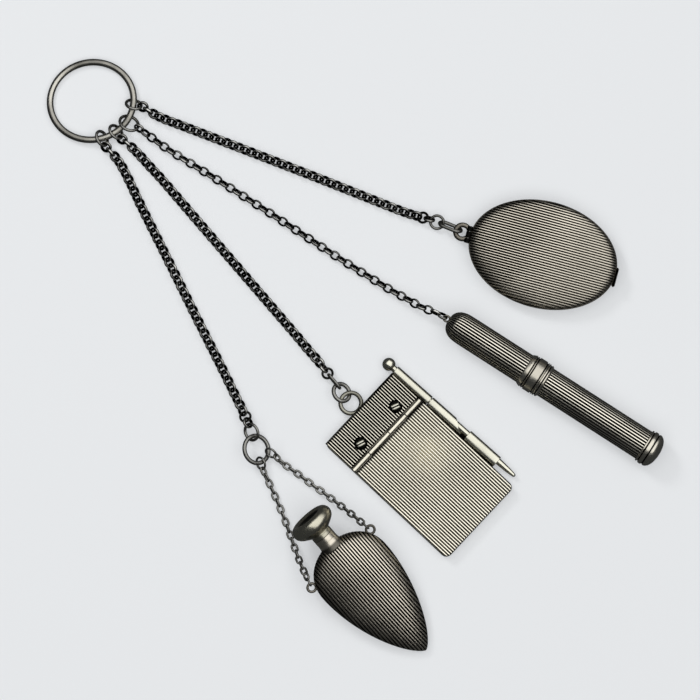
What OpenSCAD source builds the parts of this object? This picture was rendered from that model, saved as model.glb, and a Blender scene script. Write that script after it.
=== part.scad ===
// Finger-ring chatelaine, laid out flat: a ring with four chains that carry an oval
// hinged case, a reeded tube case, a notepad with its pencil and a flat flask.
// Millimetres. The floor is z = 0, +X is to the right and +Y is away from the viewer.

/* [Finger ring] */
// Half of the long width of the ring, at the middle of its wire
ring_long = 12.6; // [11:0.1:14]
// Half of the short width of the ring, at the middle of its wire
ring_short = 11.6; // [10:0.1:12]
// Thickness of the ring's wire
ring_wire = 2.0; // [1.6:0.1:2.2]

/* [Chains] */
// Hole radius of a thick chain's link
thick_hole = 1.12; // [1.1:0.01:1.15]
// Hole radius of the thin chain's link
thin_hole = 1.3; // [1.28:0.01:1.34]
// Length of a trace link on the flask's two chains
trace_length = 3.12; // [3.1:0.02:3.3]

/* [Oval case] */
// Half of the case's length
case_long = 22.65; // [21:0.1:24]
// Half of the case's width
case_short = 16.05; // [15:0.1:18]
// Height of the lower shell
case_base_h = 5.0; // [4.6:0.1:6]
// Height of the lid
case_lid_h = 4.0; // [3:0.1:5]
// Thickness of the case's sheet silver
case_wall = 0.6; // [0.5:0.05:0.8]

/* [Tube case] */
// Radius over the tube's reeds
tube_r = 4.75; // [4.7:0.05:4.9]
// Number of reeds round the tube
tube_reeds = 32; // [24:1:36]
// Radius of the polished band at the joint
tube_band_r = 5.45; // [5.2:0.05:5.5]

/* [Notepad] */
// Length of the notepad
pad_length = 50.2; // [46:0.2:54]
// Number of reeds across the notepad
pad_reeds = 35; // [25:1:40]

/* [Flask] */
// Length of the flask's body
flask_length = 44; // [40:0.5:48]
// Half of the flask's greatest width
flask_half_width = 12.5; // [11:0.1:14]
// Half of the flask's greatest thickness
flask_half_thick = 5.6; // [5:0.1:6.5]
// How far the flask leans, its tip down
flask_lean = 10.5; // [8:0.5:12]

/* [Hidden] */
$fn = 32;

silver = "silver";
worn_silver = "gainsboro";
dark_silver = "dimgray";
fit = 0.05;      // radial clearance of a pin in its knuckles
play = 0.1;      // gap between pieces that are threaded on each other
floor_gap = 0.04;

// Sections of the link wires: width across the band, and thickness
thick_band = 0.86;
thick_wire = 0.55;
thin_band = 0.98;
thin_wire = 0.38;
trace_wire = 0.42;
trace_width = 2.12;
thick_pitch = 2.0;
thin_pitch = 2.36;
trace_pitch = 2.16;

// The finger ring lies on the floor at its far side and on the jump rings at the near side
ring_place = [-78.9, 76.3];
ring_turn = 13;
ring_tilt = 2.7;
ring_tilt_towards = -40;
ring_reach = 12.2; // from the ring's middle to where it touches the floor
jump_wire = 0.8;

// Rings are given as: place, turn of the long axis, and lean about that axis
jump_r = 2.3;
jump_tube_r = 2.9;
jump_case_at = [-66.33, 75.23, 2.31];
jump_case_turn = -13.6;
jump_case_lean = 54.7;
jump_tube_at = [-67.7, 69.6, 2.5];
jump_tube_turn = -27;
jump_tube_lean = 45;
jump_pad_at = [-71.66, 67.0, 2.31];
jump_pad_turn = -49.5;
jump_pad_lean = 52;
jump_flask_at = [-75.85, 65.06, 2.33];
jump_flask_turn = -64.4;
jump_flask_lean = 52.5;

// Rings and links between the chains and the pendants
case_ring_at = [24.59, 39.96, 2.18];
case_ring_r = 2.0;
case_ring_wire = 0.85;
case_ring_lean = -14.8;
case_link_at = [28.57, 38.55, 2.82];
case_link_turn = -22.3;
case_link_rise = 12.9;
case_link_lean = 67.3;
case_link_length = 8.0;
case_link_width = 4.6;
case_link_wire = 1.1;
pad_link_at = [-6.23, -7.77, 2.05];
pad_link_turn = -50.1;
pad_link_lean = 97;
pad_link_length = 6.2;
pad_link_width = 3.5;
pad_link_wire = 0.9;
pad_ring_at = [-4.03, -11.1, 2.17];
pad_ring_r = 2.8;
pad_ring_wire = 1.05;
pad_ring_turn = -56.7;
pad_ring_lean = 35;
end_ring_at = [-31.02, -22.94, 2.92];
end_ring_r = 2.5;
end_ring_wire = 0.9;
end_ring_turn = -69.3;
end_ring_lean = -41.9;
oval_ring_at = [-29.53, -28.16, 2.89];
oval_ring_r = 4.15;
oval_ring_wire = 1.3;
oval_ring_turn = -73.6;
oval_ring_lean = 32;
trace_ring_wire = 0.5;
left_ring_at = [-28.24, -32.33, 2.02];
left_ring_r = 1.85;
left_ring_turn = -70;
left_ring_lean = -50;
right_ring_at = [-25.19, -29.2, 3.69];
right_ring_r = 1.75;
right_ring_turn = -36.3;
right_ring_lean = -53.4;

// Places of the pendants
case_at = [56.25, 30.18];
case_turn = -15.2;
tube_at = [27.96, 10.71];
tube_turn = -32.7;
pad_at = [19.05, -33.33];
pad_turn = -43.2;
flask_at = [-7.56, -56.1];
flask_turn = -48.9;

// Routes of the chains: x, y and height of the links' middles
case_route = [[-63.6, 74.57, 2.31], [-61.0, 73.3, 1.95], [-57.5, 71.5, 1.72], [-51.9, 68.8, 1.56],
    [-31.0, 60.9, 1.5], [-10.5, 53.3, 1.5], [9.0, 45.9, 1.56], [15.5, 43.4, 1.7],
    [19.5, 41.9, 1.9], [22.26, 40.86, 2.18]];
tube_route = [[-64.7, 68.06, 2.49], [-61.0, 65.9, 2.2], [-56.5, 62.8, 1.95], [-50.2, 58.4, 1.83],
    [-42.2, 53.4, 1.8], [-28.2, 44.4, 1.8], [-16.1, 36.8, 1.8], [-4.0, 29.2, 1.8],
    [5.5, 23.1, 1.9], [11.6, 19.2, 2.4], [15.8, 16.9, 3.2], [20.1, 14.95, 4.4],
    [24.29, 13.2, 5.33], [26.18, 11.85, 5.49]];
pad_route = [[-69.82, 64.84, 2.31], [-68.0, 63.0, 2.05], [-65.2, 60.3, 1.8], [-61.0, 56.1, 1.6],
    [-57.4, 52.4, 1.5], [-46.0, 39.7, 1.5], [-28.7, 18.9, 1.5], [-17.5, 6.1, 1.55],
    [-14.5, 2.7, 1.66], [-11.0, -1.5, 1.82], [-8.24, -5.36, 2.06]];
flask_route = [[-74.6, 62.5, 2.33], [-73.4, 60.2, 2.05], [-71.8, 57.3, 1.8], [-69.0, 52.9, 1.6],
    [-63.9, 44.3, 1.5], [-55.9, 29.3, 1.5], [-47.4, 12.6, 1.5], [-39.4, -4.1, 1.52],
    [-36.2, -10.9, 1.75], [-34.0, -15.6, 2.3], [-32.08, -20.13, 2.92]];
left_route = [[-27.42, -34.72, 2.06], [-26.0, -37.7, 1.6], [-24.2, -41.7, 1.25], [-21.6, -47.9, 1.2],
    [-19.2, -54.5, 1.4], [-17.9, -58.2, 2.5], [-16.6, -61.6, 4.3], [-15.2, -64.8, 6.4],
    [-13.74, -67.72, 8.3]];
right_route = [[-23.33, -30.63, 3.34], [-21.8, -31.9, 2.6], [-19.6, -33.5, 1.8], [-16.4, -35.7, 1.3],
    [-13.0, -38.3, 1.25], [-9.3, -41.1, 1.7], [-5.2, -44.3, 3.4], [-1.0, -47.5, 5.9],
    [3.1, -50.87, 8.63]];

function unit(v) = v / norm(v);
function heading(turn, rise = 0) = [cos(turn) * cos(rise), sin(turn) * cos(rise), sin(rise)];
function side_of(t) = unit(cross([0, 0, 1], t));
function up_of(t) = cross(t, side_of(t));
// Normal of a ring whose long axis is t: straight up at roll 0, level at roll 90
function rolled(t, roll) = cos(roll) * up_of(t) + sin(roll) * side_of(t);

// Moves children so that their x axis is t and their z axis is n, at p
module place(p, t, n) {
    b = cross(n, t);
    multmatrix([[t.x, b.x, n.x, p.x], [t.y, b.y, n.y, p.y], [t.z, b.z, n.z, p.z], [0, 0, 0, 1]])
        children();
}

// A smooth curve through the route's points
function curve_point(a, b, c, d, u) = 0.5 * (2 * b + (c - a) * u
    + (2 * a - 5 * b + 4 * c - d) * u * u + (3 * b - a - 3 * c + d) * u * u * u);
function smooth(p, steps = 6) = let (last = len(p) - 1) concat(
    [for (i = [0 : last - 1]) for (j = [0 : steps - 1])
        curve_point(p[max(i - 1, 0)], p[i], p[i + 1], p[min(i + 2, last)], j / steps)],
    [p[last]]);
function run_lengths(c) = [for (s = 0, i = 0; i < len(c);
    s = s + (i + 1 < len(c) ? norm(c[i + 1] - c[i]) : 0), i = i + 1) s];
function at_length(c, l, s) = let (i = max([for (j = [0 : len(l) - 2]) if (l[j] <= s + 0.0001) j]))
    c[i] + (c[i + 1] - c[i]) * (s - l[i]) / (l[i + 1] - l[i]);
// Middles of the links: evenly spaced, the first and last at the ends of the route
function link_middles(route, pitch) = let (c = smooth(route), l = run_lengths(c),
    total = l[len(l) - 1], n = ceil(total / pitch))
    [for (i = [0 : n]) at_length(c, l, i * total / n)];

// Puts a link at each middle, each turned a quarter from the last. The first and last few links
// twist until they stand square to the rings that they hang on.
turn_links = 6;
function quarter_to(a, b) = (b - a) - 180 * round((b - a) / 180);
function link_roll(i, last, roll, first_roll, last_roll) = roll + 90 * (i % 2)
    + quarter_to(roll, first_roll) * max(0, 1 - i / turn_links)
    + quarter_to(roll + 90 * (last % 2), last_roll) * max(0, 1 - (last - i) / turn_links);
module along(route, pitch, roll, first_roll, last_roll) {
    m = link_middles(route, pitch);
    last = len(m) - 1;
    for (i = [0 : last]) {
        t = unit(m[min(i + 1, last)] - m[max(i - 1, 0)]);
        place(m[i], t, rolled(t, link_roll(i, last, roll, first_roll, last_roll))) children();
    }
}

// Flat-sided oval wire section, across is along z
module wire_section(across, thick) {
    half = (across - thick) / 2;
    translate([0, half]) circle(d = thick);
    translate([0, -half]) circle(d = thick);
    square([thick, 2 * half], center = true);
}

module belcher_link(hole, across, thick) {
    rotate_extrude() translate([hole + thick / 2, 0]) wire_section(across, thick);
}

module round_ring(r, wire) {
    rotate_extrude() translate([r, 0]) circle(d = wire);
}

// A link with two straight sides, long along x
module long_link(length, width, wire) {
    r = (width - wire) / 2;
    straight = length - width;
    for (s = [0, 180]) rotate([0, 0, s]) {
        translate([straight / 2, 0, 0]) rotate([0, 0, -90])
            rotate_extrude(angle = 180) translate([r, 0]) circle(d = wire);
        translate([-straight / 2, r, 0]) rotate([0, 90, 0]) cylinder(d = wire, h = straight);
    }
}

module leaning_ring(at, turn, r, wire, lean) {
    t = heading(turn);
    place(at, t, rolled(t, lean)) round_ring(r, wire);
}

// An oval ring: one round wire swept round an ellipse
module finger_ring() color(silver) {
    steps = 48;
    sides = 12;
    wire = [for (i = [0 : steps - 1]) for (j = [0 : sides - 1]) let (
        a = 360 * i / steps,
        b = 360 * j / sides,
        outward = unit([ring_short * cos(a), ring_long * sin(a), 0]),
        middle = [ring_long * cos(a), ring_short * sin(a), 0])
        middle + ring_wire / 2 * (cos(b) * outward + sin(b) * [0, 0, 1])];
    faces = [for (i = [0 : steps - 1]) for (j = [0 : sides - 1]) let (
        m = (i + 1) % steps,
        n = (j + 1) % sides,
        p = i * sides + j,
        q = i * sides + n,
        r = m * sides + n,
        s = m * sides + j)
        each [[p, q, r], [p, r, s]]];
    translate([ring_place.x, ring_place.y,
        ring_wire / 2 + floor_gap / 2 + ring_reach * sin(ring_tilt)])
        rotate([0, 0, ring_tilt_towards]) rotate([0, -ring_tilt, 0])
        rotate([0, 0, ring_turn - ring_tilt_towards])
        polyhedron(points = wire, faces = faces, convexity = 4);
}

module jump_ring_case() color(dark_silver)
    leaning_ring(jump_case_at, jump_case_turn, jump_r, jump_wire, jump_case_lean);
module jump_ring_tube() color(dark_silver)
    leaning_ring(jump_tube_at, jump_tube_turn, jump_tube_r, jump_wire, jump_tube_lean);
module jump_ring_pad() color(dark_silver)
    leaning_ring(jump_pad_at, jump_pad_turn, jump_r, jump_wire, jump_pad_lean);
module jump_ring_flask() color(dark_silver)
    leaning_ring(jump_flask_at, jump_flask_turn, jump_r, jump_wire, jump_flask_lean);

// Thick links stand at 45 degrees between flat and upright, thin ones upright and flat by turns
module thick_chain(route, first_roll, last_roll) color(dark_silver)
    along(route, thick_pitch, 45, first_roll, last_roll)
        belcher_link(thick_hole, thick_band, thick_wire);
module chain_case() thick_chain(case_route, jump_case_lean - 90, 70);
module chain_pad() thick_chain(pad_route, jump_pad_lean - 90, 6);
module chain_flask() thick_chain(flask_route, jump_flask_lean - 90, end_ring_lean + 90);
module chain_tube() color(dark_silver)
    along(tube_route, thin_pitch, 90, jump_tube_lean - 90, tube_loop_roll + 90)
        belcher_link(thin_hole, thin_band, thin_wire);

module case_ring() color(dark_silver)
    leaning_ring(case_ring_at, case_link_turn, case_ring_r, case_ring_wire, case_ring_lean);
module case_link() color(dark_silver) {
    t = heading(case_link_turn, case_link_rise);
    place(case_link_at, t, rolled(t, case_link_lean)) long_link(case_link_length, case_link_width, case_link_wire);
}

// Oval dome: a superellipse rim to crown, flat on top inside the last ring
dome_power = 2.6;
dome_sides = 48;
function dome_rings(a, b, h, angles) = [for (f = angles) let (
    k = pow(cos(f), 2 / dome_power), z = h * pow(sin(f), 2 / dome_power))
    for (i = [0 : dome_sides - 1]) let (w = 360 * i / dome_sides)
        [a * k * cos(w), b * k * sin(w), z]];
function skin_faces(from, rings, flip) = [for (j = [0 : rings - 2]) for (i = [0 : dome_sides - 1])
    let (n = (i + 1) % dome_sides, p = from + j * dome_sides + i, q = from + j * dome_sides + n,
        r = q + dome_sides, s = p + dome_sides)
    each (flip ? [[p, q, r], [p, r, s]] : [[p, r, q], [p, s, r]])];
module oval_shell(a, b, h, wall) {
    outer = [0, 8, 18, 29, 41, 54, 68];
    inner = [0, 14, 30, 48, 68];
    crown = pow(sin(68), 2 / dome_power);
    rings_out = dome_rings(a, b, h / crown, outer);
    rings_in = dome_rings(a - wall, b - wall, (h - wall) / crown, inner);
    start = len(rings_out);
    top_out = (len(outer) - 1) * dome_sides;
    top_in = start + (len(inner) - 1) * dome_sides;
    polyhedron(points = concat(rings_out, rings_in), faces = concat(
        skin_faces(0, len(outer), false),
        skin_faces(start, len(inner), true),
        [for (i = [0 : dome_sides - 1]) let (n = (i + 1) % dome_sides)
            each [[i, n, start + n], [i, start + n, start + i]]],
        [[for (i = [dome_sides - 1 : -1 : 0]) top_out + i]],
        [[for (i = [0 : dome_sides - 1]) top_in + i]]));
}

hinge_x = -23.0;
hinge_r = 0.9;
hinge_pin_r = 0.4;
hinge_middle = 0.95;
hinge_end = 2.6;
seam = 0.05;
module across_y(y0, y1, r) {
    translate([0, y0, 0]) rotate([-90, 0, 0]) cylinder(r = r, h = y1 - y0);
}
module in_case() {
    translate([case_at.x, case_at.y, 0]) rotate([0, 0, case_turn]) children();
}
module at_case_hinge() {
    translate([hinge_x, 0, case_base_h + seam]) children();
}

module case_base() color(worn_silver) in_case() {
    bail_r = 2.1;
    bail_wire = 1.5;
    difference() {
        union() {
            translate([0, 0, case_base_h]) rotate([180, 0, 0])
                oval_shell(case_long, case_short, case_base_h, case_wall);
            at_case_hinge() across_y(-hinge_middle, hinge_middle, hinge_r);
            translate([hinge_x, -hinge_middle, case_base_h - hinge_r])
                cube([1.0, 2 * hinge_middle, hinge_r]);
        }
        at_case_hinge() across_y(-hinge_end, hinge_end, hinge_pin_r + fit);
        for (s = [0, 1]) mirror([0, s, 0])
            at_case_hinge() across_y(hinge_middle, hinge_end + 0.2, hinge_r + 0.15);
    }
    translate([-case_long - 2.35, 0.3, 3.3]) round_ring(bail_r, bail_wire);
}

module case_lid() color(worn_silver) in_case() {
    difference() {
        union() {
            translate([0, 0, case_base_h + 2 * seam])
                oval_shell(case_long, case_short, case_lid_h, case_wall);
            for (s = [0, 1]) mirror([0, s, 0]) {
                at_case_hinge() across_y(hinge_middle + 0.15, hinge_end, hinge_r);
                translate([hinge_x, hinge_middle + 0.15, case_base_h + 2 * seam])
                    cube([1.3, hinge_end - hinge_middle - 0.15, hinge_r - seam]);
            }
            translate([case_long - 0.9, -3.9, case_base_h + 2 * seam]) cube([1.7, 6, 1.2]);
        }
        at_case_hinge() across_y(-hinge_end, hinge_end, hinge_pin_r + fit);
        at_case_hinge() across_y(-hinge_middle - 0.15, hinge_middle + 0.15, hinge_r + 0.15);
    }
}

module case_hinge_pin() color(silver) in_case() at_case_hinge()
    across_y(-hinge_end, hinge_end, hinge_pin_r);

// Heights in the notepad, and its hinge across the top
pad_left = -14.1;
pad_right = 15.0;
back_top = 0.9;
leaves_top = 2.85;
plate_low = 3.0;
plate_top = 3.5;
reed_top = 3.9;
pad_hinge_x = -13.4;
pad_hinge_z = 3.8;
pad_hinge_r = 0.76;
pad_pin_r = 0.35;
knuckle_ends = [-14.3, -7.2, 1.3, 8.6, 15.0];
screw_x = -17.4;
screw_ys = [8.4, -6.8];
screw_head_r = 1.8;
pencil_y = 17.05;
pencil_z = 2.0;
pencil_turn = 1.6;
pencil_r = 1.0;
holder_r = 1.45;
holder_ends = [[-24.9, -11.2], [-10.9, 0.8], [4.2, 16.2]];
pad_loop_r = 3.2;
pad_loop_wire = 1.0;

module in_pad() {
    translate([pad_at.x, pad_at.y, 0]) rotate([0, 0, pad_turn]) children();
}
module in_pencil() {
    in_pad() translate([0, pencil_y, pencil_z]) rotate([0, 0, pencil_turn]) children();
}
module along_x(x0, x1, r) {
    translate([x0, 0, 0]) rotate([0, 90, 0]) cylinder(r = r, h = x1 - x0);
}
// A plate with reeds on top, from x0 to x1
module reeded_plate(x0, x1) {
    pitch = (pad_right - pad_left) / pad_reeds;
    reed = [[0.04, 0], [0.26, 0.82], [0.5, 1], [0.74, 0.82], [0.96, 0]];
    translate([x0, 0, 0]) rotate([90, 0, 90]) linear_extrude(x1 - x0) polygon(concat(
        [[pad_left, plate_low]],
        [for (i = [0 : pad_reeds - 1]) for (q = reed)
            [pad_left + (i + q[0]) * pitch, plate_top + q[1] * (reed_top - plate_top)]],
        [[pad_right, plate_low]]));
}
module knuckles(first) {
    for (i = [first : 2 : 3]) translate([pad_hinge_x, 0, pad_hinge_z])
        across_y(knuckle_ends[i] + play / 2, knuckle_ends[i + 1] - play / 2, pad_hinge_r);
}
// Tabs that join a plate to its own knuckles, x0 and x1 are measured from the hinge
module hinge_tabs(first, x0, x1) {
    for (i = [first : 2 : 3]) translate([pad_hinge_x + x0, knuckle_ends[i] + play / 2, plate_low + 0.05])
        cube([x1 - x0, min(knuckle_ends[i + 1], pad_right) - knuckle_ends[i] - play, 0.45]);
}
module pad_pin_hole() {
    translate([pad_hinge_x, 0, pad_hinge_z]) across_y(-20, 20, pad_pin_r + fit);
}

module pad_back() color(worn_silver) {
    half = pad_length / 2;
    loop_z = 2.0;
    lug_w = 5.2;
    edge = pad_right + 0.2;
    difference() {
        union() {
            in_pad() translate([-half, pad_left - 0.4, 0])
                cube([pad_length, edge - pad_left + 0.4, back_top]);
            for (ends = holder_ends) {
                in_pencil() along_x(ends[0], ends[1], holder_r);
                in_pad() translate([ends[0], edge - 0.5, 0.1])
                    cube([ends[1] - ends[0], pencil_y - edge + 0.5, back_top - 0.15]);
            }
            in_pad() translate([-half - 2.75, 0, loop_z]) round_ring(pad_loop_r, pad_loop_wire);
            in_pad() translate([-half, -lug_w / 2, 0.5]) cube([1.0, lug_w, loop_z - 0.3]);
        }
        in_pencil() along_x(-30, 30, pencil_r + 2 * fit);
        for (y = screw_ys) in_pad() translate([screw_x, y, -1]) cylinder(r = 0.8, h = 3);
    }
}
module pad_leaves() color("ivory") in_pad() difference() {
    translate([-23.8, -13.8, back_top + fit]) cube([48.4, 27.6, leaves_top - back_top - fit]);
    for (y = screw_ys) translate([screw_x, y, 0]) cylinder(r = 0.9, h = 5);
}
module pad_top_strip() color(worn_silver) in_pad() difference() {
    union() {
        reeded_plate(-pad_length / 2, pad_hinge_x - 0.95);
        hinge_tabs(0, -1.0, -0.3);
        knuckles(0);
    }
    pad_pin_hole();
    for (y = screw_ys) translate([screw_x, y, 0]) {
        cylinder(r = 0.85, h = 6);
        translate([0, 0, plate_top - 0.1]) cylinder(r = screw_head_r + 0.12, h = 2);
    }
}
module pad_cover() color(worn_silver) in_pad() difference() {
    union() {
        reeded_plate(pad_hinge_x + 0.95, pad_length / 2);
        hinge_tabs(1, 0.3, 1.0);
        knuckles(1);
    }
    pad_pin_hole();
}
module pad_hinge_pin() color(silver) in_pad() translate([pad_hinge_x, 0, pad_hinge_z])
    across_y(knuckle_ends[0] + 0.1, knuckle_ends[4] - 0.1, pad_pin_r);
module pad_screw(y, slot_turn) color(silver) in_pad() translate([screw_x, y, 0]) difference() {
    union() {
        translate([0, 0, 0.05]) cylinder(r = 0.75, h = plate_top);
        translate([0, 0, plate_top - 0.05]) cylinder(r = screw_head_r, h = 0.45);
        translate([0, 0, plate_top + 0.4]) cylinder(r1 = screw_head_r, r2 = 1.3, h = 0.25);
    }
    rotate([0, 0, slot_turn]) translate([-3, -0.18, plate_top + 0.3]) cube([6, 0.36, 2]);
}
module pad_screw_1() pad_screw(screw_ys[0], 52);
module pad_screw_2() pad_screw(screw_ys[1], 65);

module pencil() color(silver) in_pencil() {
    rotate([0, 90, 0]) rotate_extrude() polygon([[0, -27.6], [pencil_r, -27.6], [pencil_r, 16.8],
        [0.85, 17.6], [0.42, 22.7], [0.2, 23.0], [0, 23.0]]);
    difference() {
        translate([-27.5, 0, 0]) sphere(r = 1.96);
        translate([-27.55, 0, 0]) rotate([0, 90, 0]) cylinder(r = pencil_r, h = 3);
    }
}

module pad_link() color(dark_silver) {
    t = heading(pad_link_turn);
    place(pad_link_at, t, rolled(t, pad_link_lean)) long_link(pad_link_length, pad_link_width, pad_link_wire);
}
module pad_ring() color(dark_silver)
    leaning_ring(pad_ring_at, pad_ring_turn, pad_ring_r, pad_ring_wire, pad_ring_lean);

// Tube case, its dome end at x = 0
dome_l = 6;
part_x = 32.8;
band_start = 26.4;
sleeve_start = 24;
sleeve_r = 4.0;
body_bore_r = 3.5;
end_start = 69.5;
end_length = 5.5;
groove = 0.3;
tube_loop_roll = -30;
module in_tube() {
    translate([tube_at.x, tube_at.y, tube_band_r + floor_gap]) rotate([0, 0, tube_turn])
        rotate([0, 90, 0]) children();
}
module turned(profile) rotate_extrude($fn = 48) polygon(profile);
module reeded_rod(z0, z1) {
    step = 360 / tube_reeds;
    reed = [[0, groove], [0.2, 0.08], [0.5, 0], [0.8, 0.08]];
    translate([0, 0, z0]) linear_extrude(z1 - z0) polygon([for (i = [0 : tube_reeds - 1]) for (q = reed)
        let (a = (i + q[0]) * step, r = tube_r - q[1]) [r * cos(a), r * sin(a)]]);
}
function dome_profile(r, l, x0) = [for (f = [0 : 10 : 90])
    [r * pow(sin(f), 0.8), x0 + l - l * pow(cos(f), 0.8)]];
module tube_cap() color(worn_silver) in_tube() {
    loop_r = 0.98;
    difference() {
        union() {
            turned(concat(dome_profile(tube_r - 0.1, dome_l, 0), [[tube_r - 0.1, dome_l + 0.5],
                [0, dome_l + 0.5]]));
            reeded_rod(dome_l + 0.1, band_start + 0.2);
            turned([[0, band_start], [tube_r + 0.06, band_start], [5.0, 27.1], [5.38, 28.7], [5.4, 29.0],
                [5.2, 29.1], [5.2, 29.3], [tube_band_r, 29.4], [tube_band_r, part_x - 0.1],
                [5.35, part_x], [0, part_x]]);
        }
        turned(concat(dome_profile(sleeve_r + 0.06, 5, 1.2), [[sleeve_r + 0.06, part_x + 1],
            [0, part_x + 1]]));
    }
    translate([0, 0, -0.62]) rotate([0, 0, -tube_loop_roll]) rotate([0, 90, 0])
        round_ring(loop_r, 0.62);
}
module tube_body() color(worn_silver) in_tube() difference() {
    union() {
        turned([[0, sleeve_start], [sleeve_r - 0.2, sleeve_start], [sleeve_r, sleeve_start + 0.3],
            [sleeve_r, part_x + 0.5], [0, part_x + 0.5]]);
        turned([[0, part_x + 0.08], [5.2, part_x + 0.08], [5.38, 33.1], [5.38, 33.4], [5.15, 33.5],
            [5.28, 33.6], [5.28, 33.85], [4.95, 34.2], [tube_r + 0.06, 34.5], [0, 34.5]]);
        reeded_rod(34.4, end_start + 0.1);
        translate([0, 0, end_start]) turned([[0, 0], [4.85, 0], [5.25, 0.6], [5.28, 1.0],
            [5.1, 1.15], [5.1, 1.3], [5.33, 1.5], [5.38, 2.2], [5.3, 2.9], [4.95, 3.6],
            [4.4, 4.3], [3.4, 5.0], [1.8, 5.4], [0, end_length]]);
    }
    turned([[0, sleeve_start - 1], [body_bore_r, sleeve_start - 1],
        [body_bore_r, end_start + end_length - 3.7], [2.6, end_start + end_length - 1.9],
        [0, end_start + end_length - 1.1]]);
}

// Flask: x runs from the neck to the tip
wide_x = 12;
tip_r = 1.7;
function flask_width(x) = x < wide_x
    ? flask_half_width * sqrt(1 - pow(1 - x / wide_x, 2.4))
    : max(flask_half_width * pow(max(0, 1 - pow((x - wide_x) / (flask_length - wide_x), 1.95)), 0.85),
        x > flask_length - 2 * tip_r
        ? sqrt(max(0, tip_r * tip_r - pow(x - flask_length + tip_r, 2))) : 0);
function flask_thick(x) = let (k = flask_width(x) / flask_half_width)
    min(flask_width(x), flask_half_thick * pow(k, 0.75) * (x < wide_x ? 1 : 1 - 0.12 * (x - wide_x)
        / flask_length));
flask_sides = 32;
flask_xs = [0.6, 1.4, 2.6, 4.4, 7, 10.5, 15, 20, 25, 30, 34.5, 38.5, 41.5, 43.2, 44.1];
function flask_ring_points(x, inset) = let (w = flask_width(x) - inset, h = flask_thick(x) - inset)
    [for (i = [0 : flask_sides - 1]) let (a = 360 * i / flask_sides, c = cos(a), s = sin(a))
        [x, w * sign(c) * pow(abs(c), 0.94), h * sign(s) * pow(abs(s), 0.94)]];
function flask_low(x) = -x * sin(flask_lean) - flask_thick(x) * cos(flask_lean);
flask_rise = -min([for (x = flask_xs) flask_low(x)]) + floor_gap;
module in_flask() {
    translate([flask_at.x, flask_at.y, flask_rise]) rotate([0, 0, flask_turn])
        rotate([0, flask_lean, 0]) children();
}
function band_faces(from, rings, flip) = [for (j = [0 : rings - 2]) for (i = [0 : flask_sides - 1])
    let (n = (i + 1) % flask_sides, p = from + j * flask_sides + i, q = from + j * flask_sides + n,
        r = q + flask_sides, s = p + flask_sides)
    each (flip ? [[p, q, r], [p, r, s]] : [[p, r, q], [p, s, r]])];
module flask_shell() {
    wall = 0.8;
    inner_xs = [for (x = flask_xs) if (x > 1 && x < 41) x];
    outer = [for (x = flask_xs) each flask_ring_points(x, 0)];
    inner = [for (x = inner_xs) each flask_ring_points(x, wall)];
    n = flask_sides;
    end_out = (len(flask_xs) - 1) * n;
    start = len(outer);
    end_in = start + (len(inner_xs) - 1) * n;
    difference() {
        polyhedron(points = concat(outer, [[flask_length, 0, 0]]), faces = concat(
            band_faces(0, len(flask_xs), true),
            [[for (i = [0 : n - 1]) i]],
            [for (i = [0 : n - 1]) [end_out + i, end_out + (i + 1) % n, start]]));
        polyhedron(points = inner, faces = concat(
            band_faces(0, len(inner_xs), true),
            [[for (i = [0 : n - 1]) i]],
            [[for (i = [n - 1 : -1 : 0]) (len(inner_xs) - 1) * n + i]]));
    }
}
neck_r = 3.3;
neck_split = -3.0;
neck_bore_r = 1.72;
ear_r = 1.28;
ear_wire = 0.6;
module flask_body() color(dark_silver) in_flask() {
    difference() {
        union() {
            flask_shell();
            rotate([0, 90, 0]) turned([[0, neck_split], [neck_r, neck_split], [neck_r, -0.6],
                [neck_r + 0.35, -0.1], [neck_r + 0.35, 0.9], [0, 0.9]]);
        }
        translate([neck_split - 1, 0, 0]) rotate([0, 90, 0]) cylinder(r = neck_bore_r, h = 6.5);
    }
    translate([5.0, 11.8, 0]) round_ring(ear_r, ear_wire);
    translate([6.6, -12.8, 0]) round_ring(ear_r, ear_wire);
}
module flask_stopper() color(silver) in_flask() rotate([0, 90, 0]) turned([
    [0, -9.0], [1.5, -9.05], [2.8, -9.25], [3.7, -9.65], [4.3, -10.1], [4.8, -10.4], [5.4, -10.4],
    [6.0, -10.1], [6.5, -9.6], [6.85, -8.9], [6.95, -8.1], [6.75, -7.2], [6.2, -6.4], [5.3, -5.7],
    [4.3, -5.1], [neck_r + 0.2, -4.6], [neck_r - 0.1, -4.4], [neck_r - 0.1, -4.2], [neck_r, -4.1],
    [neck_r, neck_split - 0.06], [neck_bore_r - 0.06, neck_split - 0.06], [neck_bore_r - 0.1, 2.6],
    [1.2, 3.0], [0, 3.0]]);

module flask_end_ring() color(dark_silver)
    leaning_ring(end_ring_at, end_ring_turn, end_ring_r, end_ring_wire, end_ring_lean);
module flask_oval_ring() color(silver)
    leaning_ring(oval_ring_at, oval_ring_turn, oval_ring_r, oval_ring_wire, oval_ring_lean);

// The flask's two chains start with a small ring on the large one and end in the ears
module trace_chain(route, first_roll) color(dark_silver)
    along(route, trace_pitch, 45, first_roll, 90)
        long_link(trace_length, trace_width, trace_wire);
module flask_chain_left() {
    trace_chain(left_route, left_ring_lean + 90);
    color(dark_silver) leaning_ring(left_ring_at, left_ring_turn, left_ring_r, trace_ring_wire,
        left_ring_lean);
}
module flask_chain_right() {
    trace_chain(right_route, right_ring_lean + 90);
    color(dark_silver) leaning_ring(right_ring_at, right_ring_turn, right_ring_r,
        trace_ring_wire, right_ring_lean);
}

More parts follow.
